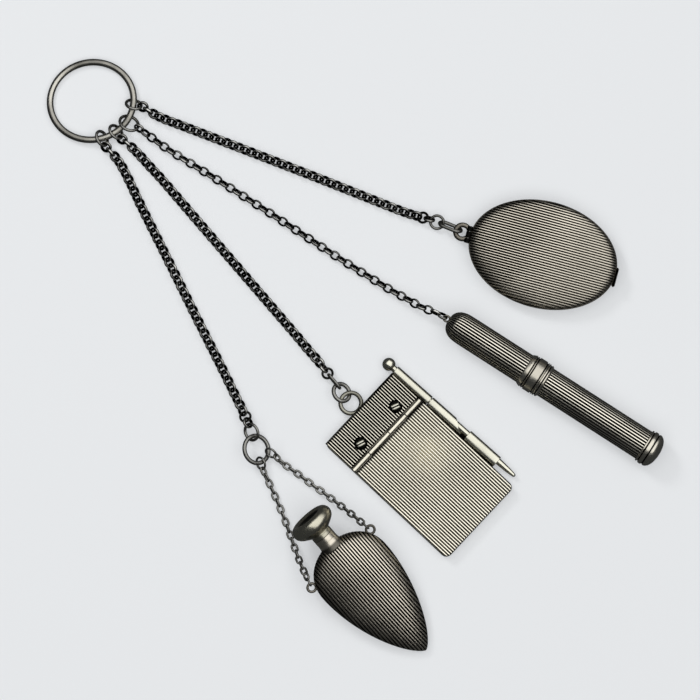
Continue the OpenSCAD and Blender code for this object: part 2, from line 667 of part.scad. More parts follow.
finger_ring();
jump_ring_case();
jump_ring_tube();
jump_ring_pad();
jump_ring_flask();
chain_case();
chain_tube();
chain_pad();
chain_flask();
case_ring();
case_link();
case_base();
case_lid();
case_hinge_pin();
pad_link();
pad_ring();
pad_back();
pad_leaves();
pad_top_strip();
pad_screw_1();
pad_screw_2();
pad_cover();
pad_hinge_pin();
pencil();
tube_cap();
tube_body();
flask_end_ring();
flask_oval_ring();
flask_chain_left();
flask_chain_right();
flask_body();
flask_stopper();
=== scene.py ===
"""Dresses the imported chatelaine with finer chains, reeded shells and oxidised silver."""

import math

import bmesh
import bpy
import numpy as np
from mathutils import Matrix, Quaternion, Vector


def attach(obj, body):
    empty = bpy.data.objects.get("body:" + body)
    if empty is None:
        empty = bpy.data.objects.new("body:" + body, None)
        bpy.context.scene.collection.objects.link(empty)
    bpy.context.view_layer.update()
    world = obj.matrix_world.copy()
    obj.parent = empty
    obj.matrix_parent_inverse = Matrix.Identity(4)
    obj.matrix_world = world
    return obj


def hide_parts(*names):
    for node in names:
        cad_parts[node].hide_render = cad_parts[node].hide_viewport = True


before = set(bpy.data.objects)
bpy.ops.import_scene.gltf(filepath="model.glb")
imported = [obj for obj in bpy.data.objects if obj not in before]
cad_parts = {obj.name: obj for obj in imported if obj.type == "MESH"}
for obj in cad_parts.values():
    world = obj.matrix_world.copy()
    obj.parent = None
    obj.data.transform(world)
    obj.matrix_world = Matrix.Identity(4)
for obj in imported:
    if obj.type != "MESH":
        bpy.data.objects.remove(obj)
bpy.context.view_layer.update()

# Lengths below are in millimetres, as in the part's own source, and become metres in Shape.build
MM = 0.001

# The finger ring lies on the floor at its far side and on the jump rings at the near side
RING_AT = (-78.9, 76.3)
RING_LONG = 12.6
RING_SHORT = 11.6
RING_WIRE = 2.0
RING_TURN = 13
RING_TILT = 2.7
RING_TILT_TOWARDS = -40
RING_REACH = 12.2
FLOOR_GAP = 0.04

# Belcher links: half length and half width of the hole, width across the band, and thickness
THICK_LINK = (1.1, 1.2, 1.02, 0.72)
THIN_LINK = (1.24, 0.98, 0.92, 0.5)
THICK_ROLL = 43
THIN_ROLL = -24
TRACE_ROLL = 12
TRACE_LENGTH = 3.12
TRACE_WIDTH = 2.25
TRACE_WIRE = 0.68
THICK_PITCH = 2.0
THIN_PITCH = 2.36
TRACE_PITCH = 2.16
TURN_LINKS = 2

# Roll of the last links of two chains, to meet the rings after them
CASE_END_ROLL = 70
PAD_END_ROLL = 6

# Round rings: place, turn of the long axis, radius, wire and lean about the axis
RINGS = {
    "jump_ring_case": ((-66.33, 75.23, 2.31), -13.6, 2.3, 0.92, 54.7),
    "jump_ring_tube": ((-67.7, 69.6, 2.5), -27, 2.9, 0.92, 45),
    "jump_ring_pad": ((-71.66, 67.0, 2.31), -49.5, 2.3, 0.92, 52),
    "jump_ring_flask": ((-75.85, 65.06, 2.33), -64.4, 2.3, 0.92, 52.5),
    "case_ring": ((24.59, 39.96, 2.18), -22.3, 2.0, 0.85, -14.8),
    "pad_ring": ((-4.03, -11.1, 2.17), -56.7, 2.72, 1.25, 35),
    "flask_end_ring": ((-31.02, -22.94, 2.92), -69.3, 2.5, 0.9, -41.9),
    "flask_oval_ring": ((-29.53, -28.16, 2.89), -73.6, 4.15, 1.3, 32),
}

# Long links: place, turn, rise, roll, length, width and wire
LONG_LINKS = {
    "case_link": ((28.57, 38.55, 2.82), -22.3, 12.9, 67.3, 8.0, 4.6, 1.1),
    "pad_link": ((-6.23, -7.77, 2.05), -50.1, 0, 97, 6.2, 3.5, 0.9),
}

# The trace chains' upper rings: place, turn, radius, wire and lean
TRACE_RINGS = {
    "flask_chain_left": ((-28.24, -32.33, 2.02), -70, 1.85, 0.68, -50),
    "flask_chain_right": ((-25.19, -29.2, 3.69), -36.3, 1.75, 0.68, -53.4),
}

# Routes of the chains: x, y and height of the links' middles
CASE_ROUTE = [
    (-63.6, 74.57, 2.31), (-61.2, 72.9, 1.95), (-57.7, 71.1, 1.72), (-51.9, 68.9, 1.56),
    (-31, 60.9, 1.5), (-10.6, 53, 1.5), (8.8, 45.3, 1.56), (15.3, 42.8, 1.7),
    (19.4, 41.6, 1.9), (22.26, 40.86, 2.18),
]
TUBE_ROUTE = [
    (-64.7, 68.06, 2.49), (-61.2, 65.5, 2.2), (-56.8, 62.3, 1.95), (-50.3, 58.2, 1.83),
    (-42.3, 53.3, 1.8), (-28.2, 44.4, 1.8), (-16.2, 36.6, 1.8), (-4.2, 28.8, 1.8),
    (5.3, 22.9, 1.9), (11.6, 19.1, 2.4), (15.8, 16.8, 3.2), (19.9, 14.5, 4.4),
    (24.1, 12.9, 5.33), (26.18, 11.85, 5.49),
]
PAD_ROUTE = [
    (-69.82, 64.84, 2.31), (-67.8, 63.2, 2.05), (-65, 60.5, 1.8), (-61, 56.1, 1.6),
    (-57.5, 52.3, 1.5), (-46.4, 39.4, 1.5), (-28.7, 18.9, 1.5), (-17.6, 6, 1.55),
    (-14.7, 2.5, 1.66), (-11.1, -1.6, 1.82), (-8.24, -5.36, 2.06),
]
FLASK_ROUTE = [
    (-74.6, 62.5, 2.33), (-72.8, 60.5, 2.05), (-70.7, 58, 1.8), (-68.2, 53.4, 1.6),
    (-63.9, 44.3, 1.5), (-56.3, 29.1, 1.5), (-48, 12.3, 1.5), (-39.7, -4.2, 1.52),
    (-36.4, -11, 1.75), (-34.1, -15.6, 2.3), (-32.08, -20.13, 2.92),
]
LEFT_ROUTE = [
    (-27.42, -34.72, 2.06), (-26, -37.7, 1.6), (-24.2, -41.7, 1.25), (-21.6, -47.9, 1.2),
    (-19.2, -54.5, 1.4), (-17.9, -58.2, 2.5), (-16.6, -61.6, 4.3), (-15.2, -64.8, 6.4),
    (-13.74, -67.72, 8.3),
]
RIGHT_ROUTE = [
    (-23.33, -30.63, 3.34), (-21.9, -32.1, 2.6), (-19.7, -33.7, 1.8), (-16.6, -35.9, 1.3),
    (-13.2, -38.5, 1.25), (-9.4, -41.2, 1.7), (-5.2, -44.3, 3.4), (-1, -47.5, 5.9),
    (3.1, -50.87, 8.63),
]

# Flattens the crest of every reed
CREST_POWER = 2.6

# Oval case
CASE_AT = (56.25, 30.18)
CASE_TURN = -15.2
CASE_LONG = 22.65
CASE_SHORT = 16.05
CASE_BASE_H = 5.0
CASE_LID_H = 4.0
CASE_WALL = 0.6
CASE_SEAM = 0.05
CASE_HINGE_X = -23.0
CASE_HINGE_R = 0.9
CASE_HINGE_MIDDLE = 0.95
CASE_HINGE_END = 2.6
CASE_PITCH = 0.78
CASE_RIM = 0.2
CASE_GROOVE = 0.24
DOME_POWER = 2.6
# Section of the rim at the seam: outward, and away from the seam
RIM_SECTION = ((-0.1, 0.0), (0.12, 0.0), (0.2, 0.08), (0.18, 0.3), (0.06, 0.42), (-0.1, 0.4))
# The bail's middle, radius and wire
CASE_BAIL = ((-CASE_LONG - 2.35, 0.3, 3.3), 2.1, 1.5)
# The thumb piece's two corners, above the seam
THUMB_BOX = ((CASE_LONG - 0.5, -3.9, 0), (CASE_LONG + 0.5, 2.1, 1.2))

# Notepad
PAD_AT = (19.05, -33.33)
PAD_TURN = -43.2
PAD_LENGTH = 50.2
PAD_LEFT = -14.1
PAD_RIGHT = 15.0
PAD_REEDS = 35
PAD_PITCH = (PAD_RIGHT - PAD_LEFT) / PAD_REEDS
PLATE_LOW = 3.0
PLATE_TOP = 3.5
PLATE_EDGE = 0.3
REED_TOP = 3.9
BACK_TOP = 0.9
BACK_RIGHT = PAD_RIGHT + 0.2
# Where the oxide starts on a reed and where it is full, from crest to groove
STRIP_OXIDE = (0.1, 0.45)
COVER_OXIDE = (0.45, 0.78)
# The spot on the cover given a painted highlight, its oxide thinned: its middle and radius
HIGHLIGHT_SPOT = (-1, 4, 9)
COVER_CORNER = 1.6
# The hinge's x, height and radius, and how far from it the plates end
PAD_HINGE = (-13.4, 3.8, 0.76)
HINGE_GAP = 0.95
KNUCKLE_ENDS = (-14.3, -7.2, 1.3, 8.6, 15.0)
KNUCKLE_GAP = 0.04
# The loop's distance from the end, height, radius and wire
PAD_LOOP = (2.75, 2.0, 3.12, 1.3)
LEAF_COUNT = 9
LEAVES_TOP = 2.85
LEAF_X = (-23.8, 24.6)
LEAF_SIDE = 13.8
SCREW_X = -17.4
# Each screw's y and the turn of its slot
SCREWS = {"pad_screw_1": (8.4, 67), "pad_screw_2": (-6.8, 71)}
SCREW_R = 1.8
SLOT_HALF = 0.24
# Radius and height over the domed head
SCREW_DOME = ((SCREW_R, 0.25), (SCREW_R, 0.4), (1.7, 0.56), (1.4, 0.68), (1.0, 0.76), (0.6, 0.8))
PENCIL_Y = 17.05
PENCIL_Z = 2.0
PENCIL_TURN = 1.6
PENCIL_R = 1.0
PENCIL_START = -27.5
BALL_R = 1.96
# Profiles of turned pieces are points of x and radius
PENCIL_PROFILE = (
    (PENCIL_START, 0.9), (-27.4, PENCIL_R), (-27.3, PENCIL_R), (16.6, PENCIL_R), (16.7, PENCIL_R),
    (17.4, 0.985), (17.5, 0.98), (20, 0.86), (22.3, 0.62), (22.4, 0.6), (22.8, 0.5), (23, 0.3),
)
HOLDER_R = 1.45
# Each length of the pencil's holder: its two ends, and the slant and reach of add_holder
HOLDERS = ((-24.9, -11.2, 0.0, 1.0), (-10.9, 2.6, 4.2, 1.17), (4.2, 16.2, 0.0, 1.42))
# Power that squares the holder above, towards the cover
HOLDER_SQUARE = 0.65

# Tube case, its dome end at x = 0
TUBE_AT = (27.96, 10.71)
TUBE_TURN = -32.7
TUBE_R = 4.75
TUBE_BAND_R = 5.45
TUBE_REEDS = 32
TUBE_SIDES = 128
TUBE_GROOVE = 0.34
TUBE_OXIDE = (0.22, 0.48)
TUBE_DOME = 6
TUBE_END_X = 69.5
TUBE_LOOP_X = -0.62
TUBE_LOOP_R = 0.98
TUBE_LOOP_WIRE = 0.62
TUBE_LOOP_ROLL = -30
CAP_SHAFT = (8, 16, 24, 27.3)
BODY_SHAFT = (34.5, 46, 58, TUBE_END_X + 0.1)
# The flare and the polished band between its beads
BAND_PROFILE = (
    (27, 4.4), (27.1, 4.8), (27.2, 4.88), (27.5, 5.02), (27.9, 5.2), (28.3, 5.34), (28.5, 5.36),
    (28.58, 5.28), (28.6, 5.1), (28.9, 5.1), (28.92, 5.3), (29, 5.38), (29.15, 5.38), (29.23, 5.3),
    (29.25, 5.1), (29.55, 5.1), (29.57, 5.36), (29.65, TUBE_BAND_R), (29.8, TUBE_BAND_R),
    (31.9, TUBE_BAND_R), (32, TUBE_BAND_R), (32.08, 5.36), (32.1, 5.1), (32.4, 5.1), (32.42, 5.3),
    (32.5, 5.38), (32.65, 5.38), (32.78, 5.28), (32.8, 5.1), (32.8, 4.1),
)
FLARE_POINTS = 7
# Film of oxide on the mouldings
FLARE_FILM = 0.35
BAND_FILM = 0.44
END_FILM = 0.3
SLEEVE_PROFILE = ((24.1, 3.5), (24.0, 3.8), (24.3, 4.0), (33.2, 4.0), (33.2, 3.5))
COLLAR_PROFILE = (
    (32.88, 4), (32.88, 5.15), (32.95, 5.3), (33.05, 5.36), (33.3, 5.36), (33.38, 5.28),
    (33.4, 5.05), (33.7, 5.05), (33.72, 5.2), (33.8, 5.28), (34.1, 5.26), (34.25, 5.15), (34.4, 4.95),
    (34.6, 4.7), (34.6, 4.4),
)
# Counted from the end of the reeds
END_PROFILE = (
    (0, 4.4), (0.02, 4.9), (0.12, 5.12), (0.25, 5.2), (0.5, 5.2), (0.58, 5.12), (0.6, 4.9),
    (0.9, 4.9), (0.92, 5.1), (1.05, 5.3), (1.3, 5.38), (1.9, 5.38), (2.1, 5.3), (2.15, 5.05),
    (2.5, 5.05), (2.55, 5.24), (2.8, 5.3), (3.2, 5.22), (3.7, 4.95), (4.2, 4.5), (4.6, 3.9),
    (4.95, 3.1), (5.2, 2.1), (5.35, 1), (5.4, 0.05),
)

# Flask: x runs from the neck to the tip
FLASK_AT = (-7.56, -56.1)
FLASK_TURN = -48.9
FLASK_LEAN = 10.5
FLASK_LENGTH = 44.0
FLASK_HALF_WIDTH = 12.5
FLASK_HALF_THICK = 5.6
FLASK_WIDE_X = 12.0
FLASK_TIP_SHIFT = 0.6
FLASK_PITCH = 0.87
FLASK_POWER = 2.128
# Powers of the outline: at the shoulder, and along and across the taper
FLASK_SHOULDER = 2.4
FLASK_TAPER = (1.75, 0.72)
FLASK_GROOVE = 0.26
FLASK_OXIDE = (0.22, 0.6)
# Where the underside is measured, to lay it on the floor
FLASK_STATIONS = (0.6, 1.4, 2.6, 4.4, 7, 10.5, 15, 20, 25, 30, 34.5, 38.5, 41.5, 43.2, 44.1)
NECK_R = 3.3
NECK_SPLIT = -3.0
NECK_PROFILE = (
    (NECK_SPLIT, 2), (NECK_SPLIT, NECK_R - 0.08), (NECK_SPLIT + 0.08, NECK_R), (-1.5, NECK_R),
    (-1.45, NECK_R - 0.08), (-1.3, NECK_R - 0.08), (-1.25, NECK_R), (-0.3, NECK_R + 0.05),
    (0.3, NECK_R + 0.2), (1, NECK_R + 0.5), (1.6, NECK_R + 0.8),
)
# From the middle of the dish over its lip to the stem
STOPPER_PROFILE = (
    (-9, 0.02), (-9.05, 1.5), (-9.25, 2.8), (-9.65, 3.7), (-10.1, 4.3), (-10.4, 4.8), (-10.45, 5.1),
    (-10.4, 5.4), (-10.1, 6), (-9.6, 6.5), (-8.9, 6.85), (-8.1, 6.95), (-7.2, 6.75), (-6.4, 6.2),
    (-5.7, 5.3), (-5.1, 4.3), (-4.75, 3.7), (-4.55, 3.4), (-4.45, 3.16), (-4.3, 3.16), (-4.2, 3.22),
    (-4.1, NECK_R), (-3.5, NECK_R), (-3.12, NECK_R), (-3.06, 3.2), (-3.06, 1.66), (2.6, 1.62),
    (3, 1.2), (3, 0.02),
)
# Each ear's x and y
EARS = ((5.0, 11.8), (6.6, -12.8))
EAR_R = 1.28
EAR_WIRE = 0.8

# Materials. Each noise has a scale and a detail
OXIDE = (0.005, 0.0048, 0.0042)
CLOUDS = (70, 3)
GRAIN = (700, 2)
LEAF_LAYERS = (2500, 2)
BUMP = {"Strength": 0.06, "Distance": 0.00004}

# Stage, in metres and watts. Each light has a place, a target, its two sides and its power
FLOOR_HALF = 3.0
# Half of the floor's light is its own, which keeps the shadows faint as on the backlit table
FLOOR = {
    "Base Color": (0.395, 0.403, 0.411, 1),
    "Roughness": 0.9,
    "Emission Color": (0.79, 0.806, 0.822, 1),
    "Emission Strength": 0.475,
}
STUDIO = {"Color": (0.8, 0.85, 0.9, 1), "Strength": 0.06}
PANEL = ((0.33, 0.38, 0.9), (0.33, 0.38, 0), (2.1, 1.5), 13.4)
SIDE_PANEL = ((0.65, 1.0, 0.62), (0, 0, 0), (1.6, 0.5), 2.6)
KEY = ((-0.5, 0.6, 0.8), (0, 0, 0), (0.25, 0.25), 3.5)
FILL = ((0.15, -0.15, 1.6), (0.15, -0.15, 0), (2.4, 2.4), 34.2)
CAMERA_AT = (-0.0015, 0.00165, 2.5)
VIEW_WIDTH = 0.21
SENSOR_MM = 36

# Body of everything except the five parts that move
ROOT = "laid_out"


def unit(v):
    return np.asarray(v, float) / np.linalg.norm(v)


def heading(turn, rise=0):
    a, e = math.radians(turn), math.radians(rise)
    return np.array([math.cos(a) * math.cos(e), math.sin(a) * math.cos(e), math.sin(e)])


def rolled(t, roll):
    """Normal of a ring whose long axis is t: straight up at roll 0, level at roll 90."""
    side = unit(np.cross([0, 0, 1], t))
    up = np.cross(t, side)
    a = math.radians(roll)
    return math.cos(a) * up + math.sin(a) * side


class Place:
    """A frame: its origin and its x, y and z axes as rows."""

    def __init__(self, origin, x_axis, z_axis):
        self.origin = np.asarray(origin, float)
        self.axes = np.array([x_axis, np.cross(z_axis, x_axis), z_axis])

    def put(self, points):
        return self.origin + np.asarray(points, float) @ self.axes

    def inner(self, origin, x_axis=(1, 0, 0), z_axis=(0, 0, 1)):
        return Place(self.put(origin), np.array(x_axis) @ self.axes, np.array(z_axis) @ self.axes)


def flat_place(at, turn):
    return Place((*at, 0), heading(turn), (0, 0, 1))


def add_object(name, data):
    thing = bpy.data.objects.new(name, data)
    bpy.context.scene.collection.objects.link(thing)
    return thing


class Shape:
    """Collects surfaces in millimetres. depth: 0 on a worn crest, 1 in a groove, plus painted shade and
    highlights.
    """

    def __init__(self, name):
        self.name = name
        self.points = []
        self.depths = []
        self.faces = []
        self.count = 0

    def _store(self, points, depth):
        points = np.asarray(points, float).reshape(-1, 3)
        self.points.append(points)
        self.depths.append(np.broadcast_to(np.asarray(depth, float).ravel(), len(points)))
        self.count += len(points)
        return self.count - len(points)

    def grid(self, points, wrap_rows=False, wrap_columns=False, depth=0.0):
        """Quads over an array of rows and columns of points."""
        points = np.asarray(points, float)
        rows, columns = points.shape[:2]
        start = self._store(points, depth)
        i = np.arange(rows if wrap_rows else rows - 1)
        j = np.arange(columns if wrap_columns else columns - 1)
        i, j = np.meshgrid(i, j, indexing="ij")
        ni, nj = (i + 1) % rows, (j + 1) % columns
        quads = np.stack([i * columns + j, ni * columns + j, ni * columns + nj, i * columns + nj], -1)
        self.faces.extend((quads.reshape(-1, 4) + start).tolist())

    def cap(self, points, depth=0.0):
        start = self._store(points, depth)
        self.faces.append(list(range(start, self.count)))

    def tube(self, rings, depth=0.0):
        """A closed skin over rings of points, with a flat cap at each end."""
        rings = np.asarray(rings, float)
        self.grid(rings, wrap_columns=True, depth=depth)
        ends = np.broadcast_to(depth, rings.shape[:2])
        self.cap(rings[0], ends[0])
        self.cap(rings[-1], ends[-1])

    def build(self, material, body, slot, *nodes, weld=0.0005):
        """Makes the mesh, joins coinciding edges, and hands it to the frame."""
        mesh = bpy.data.meshes.new(self.name)
        mesh.from_pydata((np.concatenate(self.points) * MM).tolist(), [], self.faces)
        layer = mesh.attributes.new("depth", "FLOAT", "POINT")
        layer.data.foreach_set("value", np.concatenate(self.depths).astype(np.float32))
        work = bmesh.new()
        work.from_mesh(mesh)
        bmesh.ops.remove_doubles(work, verts=work.verts, dist=weld * MM)
        bmesh.ops.recalc_face_normals(work, faces=work.faces)
        work.to_mesh(mesh)
        work.free()
        mesh.shade_smooth()
        mesh.set_sharp_from_angle(angle=math.radians(38))
        mesh.materials.append(material)
        piece = add_object(self.name, mesh)
        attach(piece, body)
        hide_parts(*nodes)


def circle_points(radius, count):
    a = np.linspace(0, 2 * math.pi, count, endpoint=False)
    return np.stack([radius * np.cos(a), radius * np.sin(a)], -1)


def stadium_points(straight, radius, per_end):
    a = np.linspace(-math.pi / 2, math.pi / 2, per_end)
    right = np.stack([straight / 2 + radius * np.cos(a), radius * np.sin(a)], -1)
    return np.concatenate([right, -right])


def planar_ring(shape, place, outline, section, depth=0.0):
    """Sweeps a section (outward, along the normal) round a flat outline in the place's plane."""
    tangent = np.roll(outline, -1, 0) - np.roll(outline, 1, 0)
    tangent /= np.linalg.norm(tangent, axis=1)[:, None]
    outward = np.stack([tangent[:, 1], -tangent[:, 0]], -1)
    flat = outline[:, None, :] + section[None, :, :1] * outward[:, None, :]
    height = np.broadcast_to(section[None, :, 1:], flat.shape[:2] + (1,))
    points = place.put(np.concatenate([flat, height], -1))
    shape.grid(points, wrap_rows=True, wrap_columns=True, depth=depth)


def band_section(across, thick, per_side=7):
    """A belcher wire: flat inside, rounded outside. The outline runs along its inner face."""
    a = np.linspace(-math.pi / 2, math.pi / 2, per_side)
    outer = np.stack([0.3 * thick + 0.7 * thick * np.cos(a), across / 2 * np.sin(a)], -1)
    inner = np.array([[0.08 * thick, across / 2 - 0.05], [0, across / 4], [0, -across / 4],
                      [0.08 * thick, 0.05 - across / 2]])
    return np.concatenate([outer, inner])


def belcher_link(shape, place, link):
    hole_long, hole_wide, across, thick = link
    around = 30
    section = band_section(across, thick)
    crown = np.abs(section[:, 1]) / (across / 2) + np.where(section[:, 0] < 0.2 * thick, 0.6, 0)
    depth = np.tile(np.clip(crown ** 1.5, 0, 1), around)
    planar_ring(shape, place, circle_points(1, around) * (hole_long, hole_wide), section, depth)


def round_ring(shape, place, radius, wire, around=56, sides=16, depth=0.0):
    planar_ring(shape, place, circle_points(radius, around), circle_points(wire / 2, sides), depth)


def long_link(shape, place, length, width, wire, per_end=12, sides=12):
    radius = (width - wire) / 2
    outline = stadium_points(length - width, radius, per_end)
    planar_ring(shape, place, outline, circle_points(wire / 2, sides))


def leaning_place(at, turn, lean, rise=0):
    t = heading(turn, rise)
    return Place(at, t, rolled(t, lean))


def smooth_route(route, steps=6):
    """A Catmull-Rom curve through the route's points."""
    p = np.array([route[0], *route, route[-1]], float)
    out = []
    for a, b, c, d in zip(p, p[1:], p[2:], p[3:]):
        for u in np.arange(steps) / steps:
            out.append(0.5 * (2 * b + (c - a) * u + (2 * a - 5 * b + 4 * c - d) * u * u
                              + (3 * b - a - 3 * c + d) * u ** 3))
    return np.array(out + [p[-1]])


def link_middles(route, pitch):
    curve = smooth_route(route)
    lengths = np.concatenate([[0], np.cumsum(np.linalg.norm(np.diff(curve, axis=0), axis=1))])
    spaces = math.ceil(lengths[-1] / pitch)
    wanted = np.linspace(0, lengths[-1], spaces + 1)
    return np.stack([np.interp(wanted, lengths, curve[:, k]) for k in range(3)], -1)


def shortest_turn(a, b):
    """A link looks the same after half a turn, so it never has to turn further than a quarter."""
    return (b - a) - 180 * round((b - a) / 180)


def link_places(route, pitch, roll, first_roll, last_roll):
    """A place for each link, each turned a quarter from the last, square to its rings at the ends."""
    middles = link_middles(route, pitch)
    last = len(middles) - 1
    for i, middle in enumerate(middles):
        t = unit(middles[min(i + 1, last)] - middles[max(i - 1, 0)])
        start = shortest_turn(roll, first_roll) * max(0, 1 - i / TURN_LINKS)
        end = shortest_turn(roll + 90 * (last % 2), last_roll)
        end *= max(0, 1 - (last - i) / TURN_LINKS)
        yield Place(middle, t, rolled(t, roll + 90 * (i % 2) + start + end))


def reed_share(offset, pitch):
    """How far each place is from the middle of its reed: 0 on the crest, 1 in the groove."""
    return np.abs((np.asarray(offset) / pitch) % 1 - 0.5) * 2


def reed_cut(offset, pitch):
    """The section of a worn reed: 0 on its flattened crest and 1 at the bottom of the groove."""
    return reed_share(offset, pitch) ** CREST_POWER


def reed_oxide(offset, pitch, start, full):
    """Oxide is worn off the crests and left in the grooves, from share start to all of it at full."""
    share = np.clip((reed_share(offset, pitch) - start) / (full - start), 0, 1)
    return share * share * (3 - 2 * share)


def reed_steps(limit, pitch, per_reed, refined=12):
    """Positions across a reeded shell: even over the reeds, closer together at the rim."""
    even_share = 0.965
    inner = limit * even_share
    count = int(2 * inner / pitch * per_reed)
    even = np.linspace(-inner, inner, count)
    angle = np.linspace(math.asin(even_share), math.pi / 2 - 0.01, refined)[1:]
    rim = limit * np.sin(angle)
    return np.concatenate([-rim[::-1], even, rim])


def set_inputs(node, values):
    for name, value in values.items():
        node.inputs[name].default_value = value


def new_material(name):
    material = bpy.data.materials.new(name)
    material.use_nodes = True
    return material, material.node_tree, material.node_tree.nodes["Principled BSDF"]


def add_noise(tree, scale, detail, stretch=(1, 1, 1)):
    coordinates = tree.nodes.new("ShaderNodeTexCoord")
    mapping = tree.nodes.new("ShaderNodeMapping")
    noise = tree.nodes.new("ShaderNodeTexNoise")
    set_inputs(mapping, {"Scale": stretch})
    set_inputs(noise, {"Scale": scale, "Detail": detail})
    tree.links.new(coordinates.outputs["Object"], mapping.inputs["Vector"])
    tree.links.new(mapping.outputs["Vector"], noise.inputs["Vector"])
    return noise.outputs["Fac"]


def add_range(tree, value, low, high, to_low, to_high):
    node = tree.nodes.new("ShaderNodeMapRange")
    set_inputs(node, {"From Min": low, "From Max": high, "To Min": to_low, "To Max": to_high})
    tree.links.new(value, node.inputs["Value"])
    return node.outputs["Result"]


def add_sum(tree, a, b, clamp=False):
    """Adds a number or another output to an output."""
    node = tree.nodes.new("ShaderNodeMath")
    node.operation = "ADD"
    node.use_clamp = clamp
    for socket, value in zip(node.inputs, (a, b)):
        if isinstance(value, (int, float)):
            socket.default_value = value
        else:
            tree.links.new(value, socket)
    return node.outputs["Value"]


def add_mix(tree, factor, first, second):
    """Mixes two colours."""
    node = tree.nodes.new("ShaderNodeMix")
    node.data_type = "RGBA"
    tree.links.new(factor, node.inputs["Factor"])
    set_inputs(node, {"A": (*first, 1), "B": (*second, 1)})
    return node.outputs["Result"]


def silver_material(name, bright, tarnish, rough, uneven=0.1, rough_dark=0.45):
    """Silver with black oxide in its grooves, and painted shade. tarnish is how much of the open metal
    is dulled.
    """
    material, tree, shader = new_material(name)
    set_inputs(shader, {"Metallic": 1.0})
    # The depth attribute: oxide in the grooves and, on some pieces, painted shade and painted highlights
    groove = tree.nodes.new("ShaderNodeAttribute")
    groove.attribute_name = "depth"
    clouds = add_noise(tree, *CLOUDS)
    grain = add_noise(tree, *GRAIN)
    patchy = add_range(tree, clouds, 0.35, 0.65, -uneven, uneven)
    film = add_sum(tree, add_sum(tree, patchy, tarnish), groove.outputs["Fac"], clamp=True)
    tree.links.new(add_mix(tree, film, bright, OXIDE), shader.inputs["Base Color"])
    worn = add_range(tree, film, 0, 1, rough, rough_dark)
    scuffs = add_range(tree, grain, 0.3, 0.7, -0.03, 0.03)
    tree.links.new(add_sum(tree, worn, scuffs), shader.inputs["Roughness"])
    bump = tree.nodes.new("ShaderNodeBump")
    set_inputs(bump, BUMP)
    tree.links.new(grain, bump.inputs["Height"])
    tree.links.new(bump.outputs["Normal"], shader.inputs["Normal"])
    return material


def leaf_material():
    material, tree, shader = new_material("writing_leaves")
    layers = add_noise(tree, *LEAF_LAYERS, stretch=(0.02, 0.02, 1))
    colour = add_mix(tree, layers, (0.72, 0.66, 0.52), (0.86, 0.82, 0.7))
    tree.links.new(colour, shader.inputs["Base Color"])
    set_inputs(shader, {"Roughness": 0.6})
    return material


# Bare colour, dulling and roughness, then unevenness and the roughness where it is dark
POLISHED = silver_material("polished_silver", (0.88, 0.86, 0.72), 0.2, 0.2)
RING_SILVER = silver_material("ring_silver", (0.84, 0.81, 0.72), 0.6, 0.14, 0.22)
REEDED = silver_material("reeded_silver", (0.97, 0.92, 0.77), 0.02, 0.22, 0.06)
CASE_SILVER = silver_material("case_silver", (0.83, 0.765, 0.64), 0.13, 0.25, 0.06)
TUBE_SILVER = silver_material("tube_silver", (0.96, 0.91, 0.78), 0.07, 0.18, 0.06)
FLASK_SILVER = silver_material("flask_silver", (0.88, 0.81, 0.68), 0.04, 0.25, 0.08)
BLACKENED = silver_material("blackened_silver", (0.8, 0.79, 0.74), 0.2, 0.16, 0.15, 0.35)
GREY = silver_material("grey_silver", (0.7, 0.69, 0.64), 0.66, 0.16, 0.12)
OLIVE = silver_material("olive_silver", (0.7, 0.67, 0.54), 0.26, 0.22, 0.15)
LEAVES = leaf_material()


def make_finger_ring():
    tilt = math.radians(RING_TILT)
    height = RING_WIRE / 2 + FLOOR_GAP / 2 + RING_REACH * math.sin(tilt)
    slope = leaning_place((*RING_AT, height), RING_TILT_TOWARDS, 0, rise=RING_TILT)
    turn = heading(RING_TURN - RING_TILT_TOWARDS)
    outline = circle_points(1, 180) * (RING_LONG, RING_SHORT)
    shape = Shape("finger_ring_wire")
    planar_ring(shape, slope.inner((0, 0, 0), turn), outline, circle_points(RING_WIRE / 2, 28))
    shape.build(RING_SILVER, ROOT, "silver", "finger_ring")


def make_rings():
    for name, (at, turn, radius, wire, lean) in RINGS.items():
        shape = Shape(name + "_wire")
        round_ring(shape, leaning_place(at, turn, lean), radius, wire)
        slot = "silver" if name == "flask_oval_ring" else "dark_silver"
        shape.build(GREY, ROOT, slot, name)
    for name, (at, turn, rise, roll, length, width, wire) in LONG_LINKS.items():
        shape = Shape(name + "_wire")
        long_link(shape, leaning_place(at, turn, roll, rise), length, width, wire)
        shape.build(GREY, ROOT, "dark_silver", name)


def make_belcher_chain(node, route, pitch, link, roll, first_roll, last_roll):
    shape = Shape(node + "_links")
    for place in link_places(route, pitch, roll, first_roll, last_roll):
        belcher_link(shape, place, link)
    shape.build(BLACKENED, ROOT, "dark_silver", node)


def make_trace_chain(node, route):
    at, turn, radius, wire, lean = TRACE_RINGS[node]
    shape = Shape(node + "_links")
    round_ring(shape, leaning_place(at, turn, lean), radius, wire, around=40, sides=10)
    for place in link_places(route, TRACE_PITCH, TRACE_ROLL, lean + 90, 90):
        long_link(shape, place, TRACE_LENGTH, TRACE_WIDTH, TRACE_WIRE, per_end=10, sides=10)
    shape.build(GREY, ROOT, "dark_silver", node)


